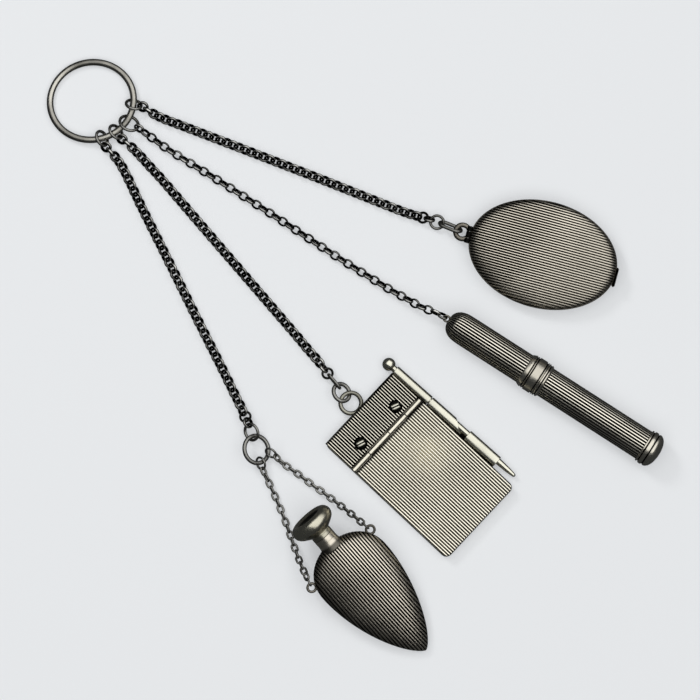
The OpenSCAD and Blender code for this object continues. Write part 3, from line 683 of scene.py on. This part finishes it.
def make_chains():
    square = {name: RINGS[name][4] - 90 for name in RINGS}
    for node, route, jump, last in (
        ("chain_case", CASE_ROUTE, "jump_ring_case", CASE_END_ROLL),
        ("chain_pad", PAD_ROUTE, "jump_ring_pad", PAD_END_ROLL),
        ("chain_flask", FLASK_ROUTE, "jump_ring_flask", square["flask_end_ring"] + 180),
    ):
        make_belcher_chain(node, route, THICK_PITCH, THICK_LINK, THICK_ROLL, square[jump], last)
    make_belcher_chain("chain_tube", TUBE_ROUTE, THIN_PITCH, THIN_LINK, THIN_ROLL,
                       square["jump_ring_tube"], TUBE_LOOP_ROLL + 90)
    make_trace_chain("flask_chain_left", LEFT_ROUTE)
    make_trace_chain("flask_chain_right", RIGHT_ROUTE)


def dome_point(x, y, a, b, height):
    """Height and normal of a superellipse dome with half axes a and b."""
    x, y = np.broadcast_arrays(x, y)
    round_share = np.sqrt((x / a) ** 2 + (y / b) ** 2)
    z_share = np.clip(1 - np.clip(round_share, 0, 1) ** DOME_POWER, 0, 1) ** (1 / DOME_POWER)
    pull = np.maximum(round_share, 1e-6) ** (DOME_POWER - 2)
    normal = np.stack([pull * x / a ** 2, pull * y / b ** 2, z_share ** (DOME_POWER - 1) / height], -1)
    normal /= np.linalg.norm(normal, axis=-1)[..., None]
    return height * z_share, normal


def dome_depths(xs, ys):
    """Oxide in the dome's grooves, with painted shade and a painted highlight band across it."""
    across = xs - 0.4 * ys + 1.2
    # Painted highlight: thins the oxide, most just on the bail's side of the middle
    painted_highlight = np.where(across < 0, 0.12 * np.exp(-(across / 5) ** 2), 0.09)
    # Painted shade: duller towards the thumb piece
    painted_shade = 0.24 * np.clip(across / 12, 0, 1)
    # Painted shade: the oxide starts sooner towards the bail
    oxide_start = 0.23 + 0.11 * np.tanh(across / 6)
    return np.maximum(reed_oxide(ys, CASE_PITCH, oxide_start, oxide_start + 0.4) * (1 - painted_highlight), painted_shade)


def dome_skin(a, b, height, columns, groove, up, seam_z):
    """Rows of points over a reeded dome that rises (up = 1) or hangs (up = -1) from its seam."""
    ys = reed_steps(b, CASE_PITCH, 9)[:, None]
    half = a * np.sqrt(1 - (ys / b) ** 2)
    xs = -half * np.cos(np.linspace(0, math.pi, columns))
    z, normal = dome_point(xs, ys, a, b, height)
    cut = reed_cut(ys, CASE_PITCH)
    fade = np.clip(z / height * 5, 0, 1)
    points = np.stack([xs, np.broadcast_to(ys, xs.shape), z], -1)
    points = points - normal * (groove * cut * fade)[..., None]
    points[..., 2] = seam_z + up * points[..., 2]
    return points, dome_depths(xs, ys)


def make_shell(name, height, up, seam_z):
    """One half of the oval case, with a plain rim, and hollow inside."""
    place = flat_place(CASE_AT, CASE_TURN)
    shape = Shape(name)
    a, b = CASE_LONG - CASE_RIM, CASE_SHORT - CASE_RIM
    points, depth = dome_skin(a, b, height, 96, CASE_GROOVE, up, seam_z)
    shape.grid(place.put(points), depth=depth)
    inside, _ = dome_skin(a - CASE_WALL, b - CASE_WALL, height - CASE_WALL, 48, 0.0, up, seam_z)
    shape.grid(place.put(inside), depth=0.7)
    path = circle_points(1, 200) * (a, b)
    section = np.array(RIM_SECTION) * (1, up)
    planar_ring(shape, place.inner((0, 0, seam_z)), path, section, depth=0.8)
    return shape, place


def case_hinge(place):
    return place.inner((CASE_HINGE_X, 0, CASE_BASE_H + CASE_SEAM), (0, 1, 0))


def squared_circle(radius, count, power=0.9):
    """A circle with slightly flattened sides, as on drawn tube that was pressed and worn."""
    unit_circle = circle_points(1, count)
    return radius * np.sign(unit_circle) * np.abs(unit_circle) ** power


def add_bar(shape, place, ends, radius, sides=28, bevel=0.12, depth=0.0):
    """A bar along x with softened ends."""
    x0, x1 = ends
    # Steps along and inward, in bevels. The last keeps the bevel's shading from spreading
    steps = ((0, 1), (0.3, 0.3), (1, 0), (1.5, 0))
    profile = [(x0 + bevel * x, radius - bevel * r) for x, r in steps]
    profile += [(x1 - bevel * x, radius - bevel * r) for x, r in reversed(steps)]
    rings = [np.column_stack([np.full(sides, x), squared_circle(r, sides)]) for x, r in profile]
    depths = np.full((len(rings), sides), depth)
    depths[[0, 1, -2, -1]] = 0.95
    shape.tube(place.put(rings), depths)


def add_box(shape, place, low, high, bevel=0.12, depth=0.0):
    """A box with chamfered edges."""
    low, high = np.array(low, float), np.array(high, float)
    rings = []
    for z, inset in ((low[2], bevel), (low[2] + bevel, 0), (high[2] - bevel, 0), (high[2], bevel)):
        (x0, y0), (x1, y1) = low[:2] + inset, high[:2] - inset
        c = bevel
        rings.append([(x0 + c, y0, z), (x1 - c, y0, z), (x1, y0 + c, z), (x1, y1 - c, z),
                      (x1 - c, y1, z), (x0 + c, y1, z), (x0, y1 - c, z), (x0, y0 + c, z)])
    shape.tube(place.put(rings), depth)


def add_rounded_plate(shape, place, low, high, top, corner, depth):
    """A flat plate from the floor up to its top, with round corners and softened edges."""
    (x0, y0), (x1, y1) = low, high
    quarter = np.linspace(0, math.pi / 2, 8)
    soft = 0.15
    rings = []
    for z, inset in ((0, soft), (soft, 0), (top - soft, 0), (top, soft)):
        ring = []
        centres = ((x1, y1, -1, -1), (x0, y1, 1, -1), (x0, y0, 1, 1), (x1, y0, -1, 1))
        for k, (x, y, sx, sy) in enumerate(centres):
            a = quarter + k * math.pi / 2
            ring.append(np.column_stack([x + sx * corner + (corner - inset) * np.cos(a),
                                         y + sy * corner + (corner - inset) * np.sin(a), np.full(8, z)]))
        rings.append(np.concatenate(ring))
    shape.tube(place.put(rings), depth)


def make_case_base():
    base, place = make_shell("case_base_shell", CASE_BASE_H - 0.02, -1, CASE_BASE_H)
    middle = (-CASE_HINGE_MIDDLE, CASE_HINGE_MIDDLE)
    add_bar(base, case_hinge(place), middle, CASE_HINGE_R, depth=0.95)
    at, radius, wire = CASE_BAIL
    round_ring(base, place.inner(at), radius, wire, around=56, sides=20, depth=0.65)
    base.build(CASE_SILVER, ROOT, "worn_silver", "case_base")


def make_case_lid():
    seam_z = CASE_BASE_H + 2 * CASE_SEAM
    lid, place = make_shell("case_lid_shell", CASE_LID_H - 0.02, 1, seam_z)
    for side in (-1, 1):
        ends = sorted((side * (CASE_HINGE_MIDDLE + 0.15), side * CASE_HINGE_END))
        add_bar(lid, case_hinge(place), ends, CASE_HINGE_R, depth=0.95)
    add_box(lid, place.inner((0, 0, seam_z)), *THUMB_BOX, bevel=0.4, depth=0.8)
    lid.build(CASE_SILVER, "case_lid", "worn_silver", "case_lid")


def pad_place():
    return flat_place(PAD_AT, PAD_TURN)


def plate_heights(ys):
    """Heights of the reeds across a plate, rounded off at its long edges."""
    side = np.minimum(ys - PAD_LEFT, PAD_RIGHT - ys)
    crest = REED_TOP - (REED_TOP - PLATE_TOP) * reed_cut(ys - PAD_LEFT, PAD_PITCH)
    return np.minimum(crest, PLATE_TOP - 0.25 + 1.3 * np.sqrt(np.maximum(side, 0)))


def plate_depths(x, y, from_ends, worn, painted_shade_ends):
    """Oxide in the grooves, with painted shade along the two ends and a painted highlight on the cover.
    """
    oxide = reed_oxide(y - PAD_LEFT, PAD_PITCH, *worn)
    highlight_x, highlight_y, highlight_r = HIGHLIGHT_SPOT
    # Painted highlight: the oxide is thinned round this spot, leaving a faint film
    painted_highlight = np.exp(-((x - highlight_x) ** 2 + (y - highlight_y) ** 2) / highlight_r ** 2)
    depths = np.maximum(oxide * (1 - 0.68 * painted_highlight), 0.08 * painted_highlight)
    # Painted shade along the plate's two ends, by the hinge and at the plate's edge
    for gap, width in zip(from_ends, painted_shade_ends):
        depths = np.where(gap < width, np.maximum(depths, 0.9), depths)
    return depths


def reeded_plate(shape, place, x0, x1, corner, painted_shade_ends, worn, recesses=()):
    """A plate with reeds on top, its far corners rounded if corner is more than 0."""
    ys = np.linspace(PAD_LEFT, PAD_RIGHT, PAD_REEDS * 12 + 1)
    side = np.minimum(ys - PAD_LEFT, PAD_RIGHT - ys)
    reach = np.clip(corner - side, 0, corner)
    length = x1 - x0 - (corner - np.sqrt(corner ** 2 - reach ** 2))
    edge = np.array([0, 0.08, 0.18, PLATE_EDGE])[:, None]
    steps = 90 if recesses else 60
    middle = PLATE_EDGE + (length - 2 * PLATE_EDGE) * np.linspace(0, 1, steps)[1:-1, None]
    run = np.concatenate([edge + 0 * length, middle, length - edge[::-1]])
    drop = 0.35 * (1 - np.clip(np.minimum(run, length - run) / PLATE_EDGE, 0, 1)) ** 2
    x, y, z = x0 + run, ys + 0 * run, plate_heights(ys) - drop
    depths = plate_depths(x, y, (run, length - run), worn, painted_shade_ends)
    for centre_x, centre_y, radius in recesses:
        inside = np.hypot(x - centre_x, y - centre_y) < radius
        z = np.where(inside, PLATE_TOP - 0.1, z)
        depths = np.where(inside, 1.0, depths)
    top = np.stack([x, y, z], -1)
    foot = top[[0, -1]]
    foot[..., 2] = PLATE_LOW
    rings = np.concatenate([foot[:1], top, foot[1:]])
    depths = np.concatenate([depths[:1], depths, depths[:1]])
    shape.grid(place.put(rings), wrap_rows=True, depth=depths)
    for column in (0, -1):
        shape.cap(place.put(rings[:, column]), depth=0.5)


def add_hinge_half(shape, place, first, tab_x):
    """Every second knuckle of the notepad's hinge, and the tabs that hold them to their plate."""
    hinge_x, hinge_z, radius = PAD_HINGE
    hinge = place.inner((hinge_x, 0, hinge_z), (0, 1, 0))
    spans = list(zip(KNUCKLE_ENDS, KNUCKLE_ENDS[1:]))[first::2]
    for y0, y1 in spans:
        ends = (y0 + KNUCKLE_GAP, y1 - KNUCKLE_GAP)
        add_bar(shape, hinge, ends, radius, sides=32, bevel=0.16, depth=0.2)
    for y0, y1 in spans:
        low = (hinge_x + tab_x[0], y0 + 0.1, PLATE_LOW + 0.05)
        high = (hinge_x + tab_x[1], min(y1, PAD_RIGHT) - 0.1, PLATE_LOW + 0.5)
        add_box(shape, place, low, high, bevel=0.05, depth=0.9)


def make_pad_strip():
    place = pad_place()
    strip = Shape("pad_top_strip_plate")
    recesses = [(SCREW_X, y, SCREW_R + 0.16) for y, _ in SCREWS.values()]
    x0, x1 = -PAD_LENGTH / 2, PAD_HINGE[0] - HINGE_GAP
    reeded_plate(strip, place, x0, x1, corner=0, painted_shade_ends=(0.7, 0.3), worn=STRIP_OXIDE,
                 recesses=recesses)
    add_hinge_half(strip, place, first=0, tab_x=(-1.0, -0.3))
    strip.build(REEDED, ROOT, "worn_silver", "pad_top_strip")


def make_pad_cover():
    place = pad_place()
    cover = Shape("pad_cover_plate")
    x0, x1 = PAD_HINGE[0] + HINGE_GAP, PAD_LENGTH / 2
    reeded_plate(cover, place, x0, x1, COVER_CORNER, painted_shade_ends=(0.4, 0.1), worn=COVER_OXIDE)
    add_hinge_half(cover, place, first=1, tab_x=(0.3, 1.0))
    cover.build(REEDED, "pad_cover", "worn_silver", "pad_cover")


def add_holder(shape, place, x0, x1, slant, reach):
    """A tube round the pencil, its far end cut back by slant on the side away from the cover.

    Towards the cover it is squarer above, and reach times as wide.
    """
    sides = 40
    bore = circle_points(PENCIL_R + 0.1, sides)
    across, up = circle_points(HOLDER_R, sides).T / HOLDER_R
    lean = slant * (0.5 + across / 2)
    near = (across < 0) & (up > 0)
    across = np.where(near, -np.abs(across) ** HOLDER_SQUARE, across)
    up = np.where(near, np.abs(up) ** HOLDER_SQUARE, up)
    across = np.where(across < 0, across * reach, across)
    outer = HOLDER_R * np.column_stack([across, up])
    steps = ((bore, 0), (outer * 0.95, 0), (outer, 0.1), (outer, 0.2))
    rings = [np.column_stack([np.full(sides, x0 + step), ring]) for ring, step in steps]
    rings += [np.column_stack([x1 - step - lean, ring]) for ring, step in reversed(steps)]
    shape.grid(place.put(rings), wrap_rows=True, wrap_columns=True)


def pencil_place():
    return pad_place().inner((0, PENCIL_Y, PENCIL_Z), heading(PENCIL_TURN))


def make_pad_back():
    place = pad_place()
    shape = Shape("pad_back_plate")
    start = -PAD_LENGTH / 2
    corners = (start, PAD_LEFT - 0.4), (-start, BACK_RIGHT)
    add_rounded_plate(shape, place, *corners, BACK_TOP, corner=1.8, depth=0.7)
    add_box(shape, place, (start, -2.6, 0.5), (start + 1.0, 2.6, 2.2), bevel=0.15, depth=0.6)
    out, z, radius, wire = PAD_LOOP
    loop = place.inner((start - out, 0, z))
    round_ring(shape, loop, radius, wire, around=64, sides=18, depth=0.5)
    pencil = pencil_place()
    for x0, x1, slant, reach in HOLDERS:
        add_holder(shape, pencil, x0, x1, slant, reach)
        # Lugs under the holder, painted dark as painted shade; past a slanted cut they fill the shaded
        # notch
        shaded_lug_low = (x0 - 0.1, BACK_RIGHT - 0.5, 0.1)
        shaded_lug_high = (x1 + 0.4 * slant, PENCIL_Y, 0.85)
        add_box(shape, place, shaded_lug_low, shaded_lug_high, bevel=0.1, depth=0.8)
    shape.build(POLISHED, ROOT, "worn_silver", "pad_back")


def make_pad_leaves():
    place = pad_place()
    shape = Shape("pad_leaves_stack")
    lowest = BACK_TOP + 0.05
    step = (LEAVES_TOP - lowest) / LEAF_COUNT
    for i in range(LEAF_COUNT):
        inset = 0.06 * (i % 3)
        z = lowest + i * step
        low = (LEAF_X[0], inset - LEAF_SIDE, z)
        high = (LEAF_X[1] - inset, LEAF_SIDE - inset, z + step * 0.9)
        add_box(shape, place, low, high, bevel=0.03)
    shape.build(LEAVES, ROOT, "leaves", "pad_leaves")


def turned_rings(profile, sides):
    return [np.column_stack([np.full(sides, x), circle_points(r, sides)]) for x, r in profile]


def turned(shape, place, profile, sides, depth=0.0):
    """Turns a profile of (x, radius) about the place's x axis."""
    shape.tube(place.put(turned_rings(profile, sides)), depth)


def ring_depths(values, sides):
    """One depth for each point of a turned piece, from one value for each ring."""
    return np.repeat(np.array(values)[:, None], sides, axis=1)


def make_pencil():
    shape = Shape("pencil_body")
    place = pencil_place()
    turned(shape, place, PENCIL_PROFILE, 32)
    angles = np.linspace(0.02, math.pi - 0.5, 24)
    ball = [(PENCIL_START - BALL_R * math.cos(a), BALL_R * math.sin(a)) for a in angles]
    turned(shape, place, ball, 40)
    shape.build(POLISHED, "pencil", "silver", "pencil")


def make_screws():
    pad = pad_place()
    for name, (y, slot_turn) in SCREWS.items():
        shape = Shape(name + "_head")
        place = pad.inner((SCREW_X, y, PLATE_TOP - 0.05), heading(slot_turn))
        # The head is cut in two halves by its slot, over a thinner disc
        add_disc(shape, place, SCREW_R, height=0.3, depth=0.9)
        for side in (-1, 1):
            add_half_head(shape, place, side)
        shape.build(POLISHED, ROOT, "silver", name)


def add_disc(shape, place, radius, height, depth):
    rings = []
    for r, z in ((radius, 0), (radius, height - 0.05), (radius - 0.05, height)):
        rings.append(np.column_stack([circle_points(r, 40), np.full(40, z)]))
    shape.tube(place.put(rings), depth)


def add_half_head(shape, place, side):
    """Half of a domed screw head beside its slot, bright along the slot's lip and darker away from it.
    """
    rings = []
    for radius, z in SCREW_DOME:
        start = math.asin(SLOT_HALF / radius)
        a = np.linspace(start, math.pi - start, 28)
        rings.append(np.column_stack([radius * np.cos(a), side * radius * np.sin(a), np.full(28, z)]))
    rings = np.array(rings)
    along, lip = np.abs(rings[..., 0]), np.abs(rings[..., 1])
    dark = np.maximum((lip - 0.45) / 0.35, (along - 1) / 0.4)
    shape.tube(place.put(rings), np.clip(dark, 0, 0.93))


def reeded_rings(profile, sides_per_reed=10):
    """Rings of a reeded turned form. The profile has x, radius and the share of the reeds' depth."""
    sides = TUBE_REEDS * sides_per_reed
    a = np.linspace(0, 2 * math.pi, sides, endpoint=False)
    cut = reed_cut(a, 2 * math.pi / TUBE_REEDS)
    oxide = reed_oxide(a, 2 * math.pi / TUBE_REEDS, *TUBE_OXIDE)
    rings, depths = [], []
    for x, radius, share in profile:
        r = radius - TUBE_GROOVE * cut * share
        rings.append(np.column_stack([np.full(sides, x), r * np.sin(a), -r * np.cos(a)]))
        depths.append(oxide * min(1, share * 1.5))
    return np.array(rings), np.array(depths)


def tube_place():
    height = TUBE_BAND_R + FLOOR_GAP
    return Place((*TUBE_AT, height), heading(TUBE_TURN), (0, 0, 1))


def groove_depths(profile, film):
    """Oxide lies where the profile dips below its neighbours on both sides, over an even film."""
    radii = np.array([r for _, r in profile])
    reach = 3
    padded = np.pad(radii, reach, constant_values=0)
    highest = np.lib.stride_tricks.sliding_window_view(padded, reach).max(1)
    dip = np.minimum(highest[:len(radii)], highest[reach + 1:]) - radii
    return ring_depths(np.clip(dip / 0.12, film, 1), TUBE_SIDES)


def make_tube_cap():
    place = tube_place()
    cap = Shape("tube_cap_shell")
    dome = []
    for f in np.linspace(2, 90, 20):
        s, c = math.sin(math.radians(f)), math.cos(math.radians(f))
        dome.append((TUBE_DOME - TUBE_DOME * c ** 0.8, (TUBE_R - 0.02) * s ** 0.8, min(1, 0.25 + s)))
    rings, depths = reeded_rings(dome + [(x, TUBE_R, 1) for x in CAP_SHAFT])
    cap.tube(place.put(rings), depths)
    depths = groove_depths(BAND_PROFILE, BAND_FILM)
    depths[:FLARE_POINTS] = FLARE_FILM
    turned(cap, place, BAND_PROFILE, TUBE_SIDES, depths)
    loop = leaning_place(place.put((TUBE_LOOP_X, 0, 0)), TUBE_TURN, TUBE_LOOP_ROLL)
    round_ring(cap, loop, TUBE_LOOP_R, TUBE_LOOP_WIRE, around=40, sides=14, depth=0.7)
    cap.build(TUBE_SILVER, ROOT, "worn_silver", "tube_cap")


def make_tube_body():
    place = tube_place()
    body = Shape("tube_body_shell")
    sleeve = turned_rings(SLEEVE_PROFILE, 64)
    body.grid(place.put(sleeve), wrap_rows=True, wrap_columns=True)
    turned(body, place, COLLAR_PROFILE, TUBE_SIDES, groove_depths(COLLAR_PROFILE, END_FILM))
    rings, depths = reeded_rings([(x, TUBE_R, 1) for x in BODY_SHAFT])
    body.tube(place.put(rings), depths)
    end = [(TUBE_END_X + x, r) for x, r in END_PROFILE]
    turned(body, place, end, TUBE_SIDES, groove_depths(end, END_FILM))
    body.build(TUBE_SILVER, "tube_body", "worn_silver", "tube_body")


def flask_width(x):
    x = np.asarray(x, float)
    bulge = np.clip(1 - np.abs(1 - x / FLASK_WIDE_X) ** FLASK_SHOULDER, 0, 1)
    start = FLASK_HALF_WIDTH * np.sqrt(bulge)
    share = np.clip((x - FLASK_WIDE_X) / (FLASK_LENGTH - FLASK_WIDE_X), 0, 1)
    along, across = FLASK_TAPER
    taper = FLASK_HALF_WIDTH * np.clip(1 - share ** along, 0, 1) ** across
    return np.where(x < FLASK_WIDE_X, start, taper)


def flask_thick(x):
    x = np.asarray(x, float)
    width = flask_width(x)
    thinner = np.where(x < FLASK_WIDE_X, 1, 1 - 0.12 * (x - FLASK_WIDE_X) / FLASK_LENGTH)
    return np.minimum(width, FLASK_HALF_THICK * (width / FLASK_HALF_WIDTH) ** 0.75 * thinner)


def flask_sizes(x):
    """Half width and half thickness, never quite 0."""
    return np.maximum(flask_width(x), 1e-3), np.maximum(flask_thick(x), 1e-3)


def flask_place():
    lean = math.radians(FLASK_LEAN)
    xs = np.array(FLASK_STATIONS)
    low = -xs * math.sin(lean) - flask_thick(xs) * math.cos(lean)
    return leaning_place((*FLASK_AT, FLOOR_GAP - low.min()), FLASK_TURN, 0, rise=-FLASK_LEAN)


def flask_reach(ys):
    """Where each line of constant y enters and leaves the flask's outline."""
    rising = np.linspace(0.3, FLASK_WIDE_X, 1200)
    falling = np.linspace(FLASK_WIDE_X, FLASK_LENGTH, 3000)[::-1]
    first = np.interp(np.abs(ys), flask_width(rising), rising)
    last = np.interp(np.abs(ys), flask_width(falling), falling)
    return first, last


def flask_painted_shade(x, y, width):
    """Painted shade on the flask: along its lower side, at its tip, round its rim and on its shoulder.
    """
    lower = np.clip((1 - y) / 24, 0, 0.4)
    tip = np.clip((x - 32) / 90, 0, 0.2)
    rim = 0.45 * np.clip(np.abs(y) / width, 0, 1) ** 8
    shoulder = 0.25 * np.clip(1 - x / 5, 0, 1)
    return np.clip(lower + tip + rim + shoulder, 0, 0.75)


def flask_normal(x, y, z):
    """Outward normal of the flask's superelliptic skin."""
    width, thick = flask_sizes(x)
    half_step = 0.02
    power = FLASK_POWER - 1

    def level(x):
        wide, deep = flask_sizes(x)
        return np.clip(np.abs(y) / wide, 0, 1) ** FLASK_POWER + (np.abs(z) / deep) ** FLASK_POWER

    slope_x = (level(x + half_step) - level(x - half_step)) / (2 * half_step)
    slope_y = FLASK_POWER * np.sign(y) * (np.abs(y) / width) ** power / width
    slope_z = FLASK_POWER * (z / thick) ** power / thick
    normal = np.stack([slope_x, slope_y, slope_z], -1)
    return normal / np.maximum(np.linalg.norm(normal, axis=-1), 1e-9)[..., None]


def flask_skin(side, columns=96):
    """Rows of points over the upper (side = 1) or lower (side = -1) half of the reeded flask."""
    ys = reed_steps(FLASK_HALF_WIDTH, FLASK_PITCH, 9)
    first, last = flask_reach(ys)
    sweep = (1 - np.cos(np.linspace(0, math.pi, columns))) / 2
    x = first[:, None] + (last - first)[:, None] * sweep
    y = np.broadcast_to(ys[:, None], x.shape)
    width = np.maximum(flask_width(x), 1e-3)
    bulge = np.clip(1 - np.clip(np.abs(y) / width, 0, 1) ** FLASK_POWER, 0, 1) ** (1 / FLASK_POWER)
    z = flask_thick(x) * bulge
    cut = reed_cut(ys, FLASK_PITCH)[:, None]
    oxide = reed_oxide(ys, FLASK_PITCH, *FLASK_OXIDE)[:, None]
    fade = np.clip(z * 2, 0, 1)
    points = np.stack([x, y, z], -1) - flask_normal(x, y, z) * (FLASK_GROOVE * cut * fade)[..., None]
    points[..., 1] += FLASK_TIP_SHIFT * (x / FLASK_LENGTH) ** 3
    points[..., 2] *= side
    # The darker of the oxide in the grooves and the painted shade
    return points, np.maximum(oxide, flask_painted_shade(x, y, width))


def make_flask_body():
    place = flask_place()
    body = Shape("flask_body_shell")
    for side in (-1, 1):
        points, depth = flask_skin(side)
        body.grid(place.put(points), depth=depth)
    dark = [0.8 if x < NECK_SPLIT + 0.05 or x > -0.2 else 0.2 for x, _ in NECK_PROFILE]
    turned(body, place, NECK_PROFILE, 64, ring_depths(dark, 64))
    for x, y in EARS:
        round_ring(body, place.inner((x, y, 0)), EAR_R, EAR_WIRE, around=40, sides=12, depth=0.75)
    body.build(FLASK_SILVER, ROOT, "dark_silver", "flask_body")


def make_stopper():
    stopper = Shape("flask_stopper_turned")
    dark = [0.8 if x < -9 and r < 4 else 0.1 for x, r in STOPPER_PROFILE]
    turned(stopper, flask_place(), STOPPER_PROFILE, 96, ring_depths(dark, 96))
    stopper.build(OLIVE, "flask_stopper", "silver", "flask_stopper")


def finish_hinge_pins():
    """The hinge pins keep the CAD part's own shape."""
    for name, material in (("case_hinge_pin", GREY), ("pad_hinge_pin", POLISHED)):
        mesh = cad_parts[name].data
        mesh.materials.clear()
        mesh.materials.append(material)


def floor_material():
    material, _, shader = new_material("pale_floor")
    set_inputs(shader, FLOOR)
    return material


def make_floor():
    mesh = bpy.data.meshes.new("floor")
    corners = [(x * FLOOR_HALF, y * FLOOR_HALF, 0) for x, y in ((-1, -1), (1, -1), (1, 1), (-1, 1))]
    mesh.from_pydata(corners, [], [(0, 1, 2, 3)])
    mesh.materials.append(floor_material())
    floor = add_object("floor", mesh)
    # The silver mirrors a dark studio, as in the photograph, not the pale surface under it
    floor.visible_glossy = False


def add_light(name, at, target, size, watts, glossy=True, diffuse=True, turn=0):
    """A rectangular lamp. glossy and diffuse say whether mirroring and matt surfaces show it."""
    data = bpy.data.lights.new(name, "AREA")
    data.shape = "RECTANGLE"
    data.size, data.size_y = size
    data.energy = watts
    light = add_object(name, data)
    light.location = at
    aim = unit(np.subtract(target, at))
    light.rotation_mode = "QUATERNION"
    turned_by = Quaternion((0, 0, 1), math.radians(turn))
    light.rotation_quaternion = turned_by @ Vector(aim).to_track_quat("-Z", "Y")
    light.visible_glossy = glossy
    light.visible_diffuse = diffuse


def make_lights():
    world = bpy.data.worlds.new("studio")
    world.use_nodes = True
    set_inputs(world.node_tree.nodes["Background"], STUDIO)
    bpy.context.scene.world = world
    # Two panels that only the silver mirrors: one along the tube case, one low beyond its upper side
    add_light("panel", *PANEL, diffuse=False, turn=TUBE_TURN)
    add_light("side_panel", *SIDE_PANEL, diffuse=False)
    # Two lamps that the silver doesn't mirror, for the floor, its shadows and the leaves
    add_light("key", *KEY, glossy=False)
    add_light("fill", *FILL, glossy=False)


def make_camera():
    data = bpy.data.cameras.new("camera")
    data.sensor_width = SENSOR_MM
    data.lens = SENSOR_MM * CAMERA_AT[2] / VIEW_WIDTH
    data.clip_start, data.clip_end = 0.01, 10
    camera = add_object("camera", data)
    camera.location = CAMERA_AT
    bpy.context.scene.camera = camera
    # The photograph has deep blacks and clear whites, without a film curve
    bpy.context.scene.view_settings.view_transform = "Standard"


make_camera()
make_finger_ring()
make_rings()
make_chains()
make_case_base()
make_case_lid()
make_pad_strip()
make_pad_cover()
make_pad_back()
make_pad_leaves()
make_pencil()
make_screws()
make_tube_cap()
make_tube_body()
make_flask_body()
make_stopper()
finish_hinge_pins()
make_floor()
make_lights()
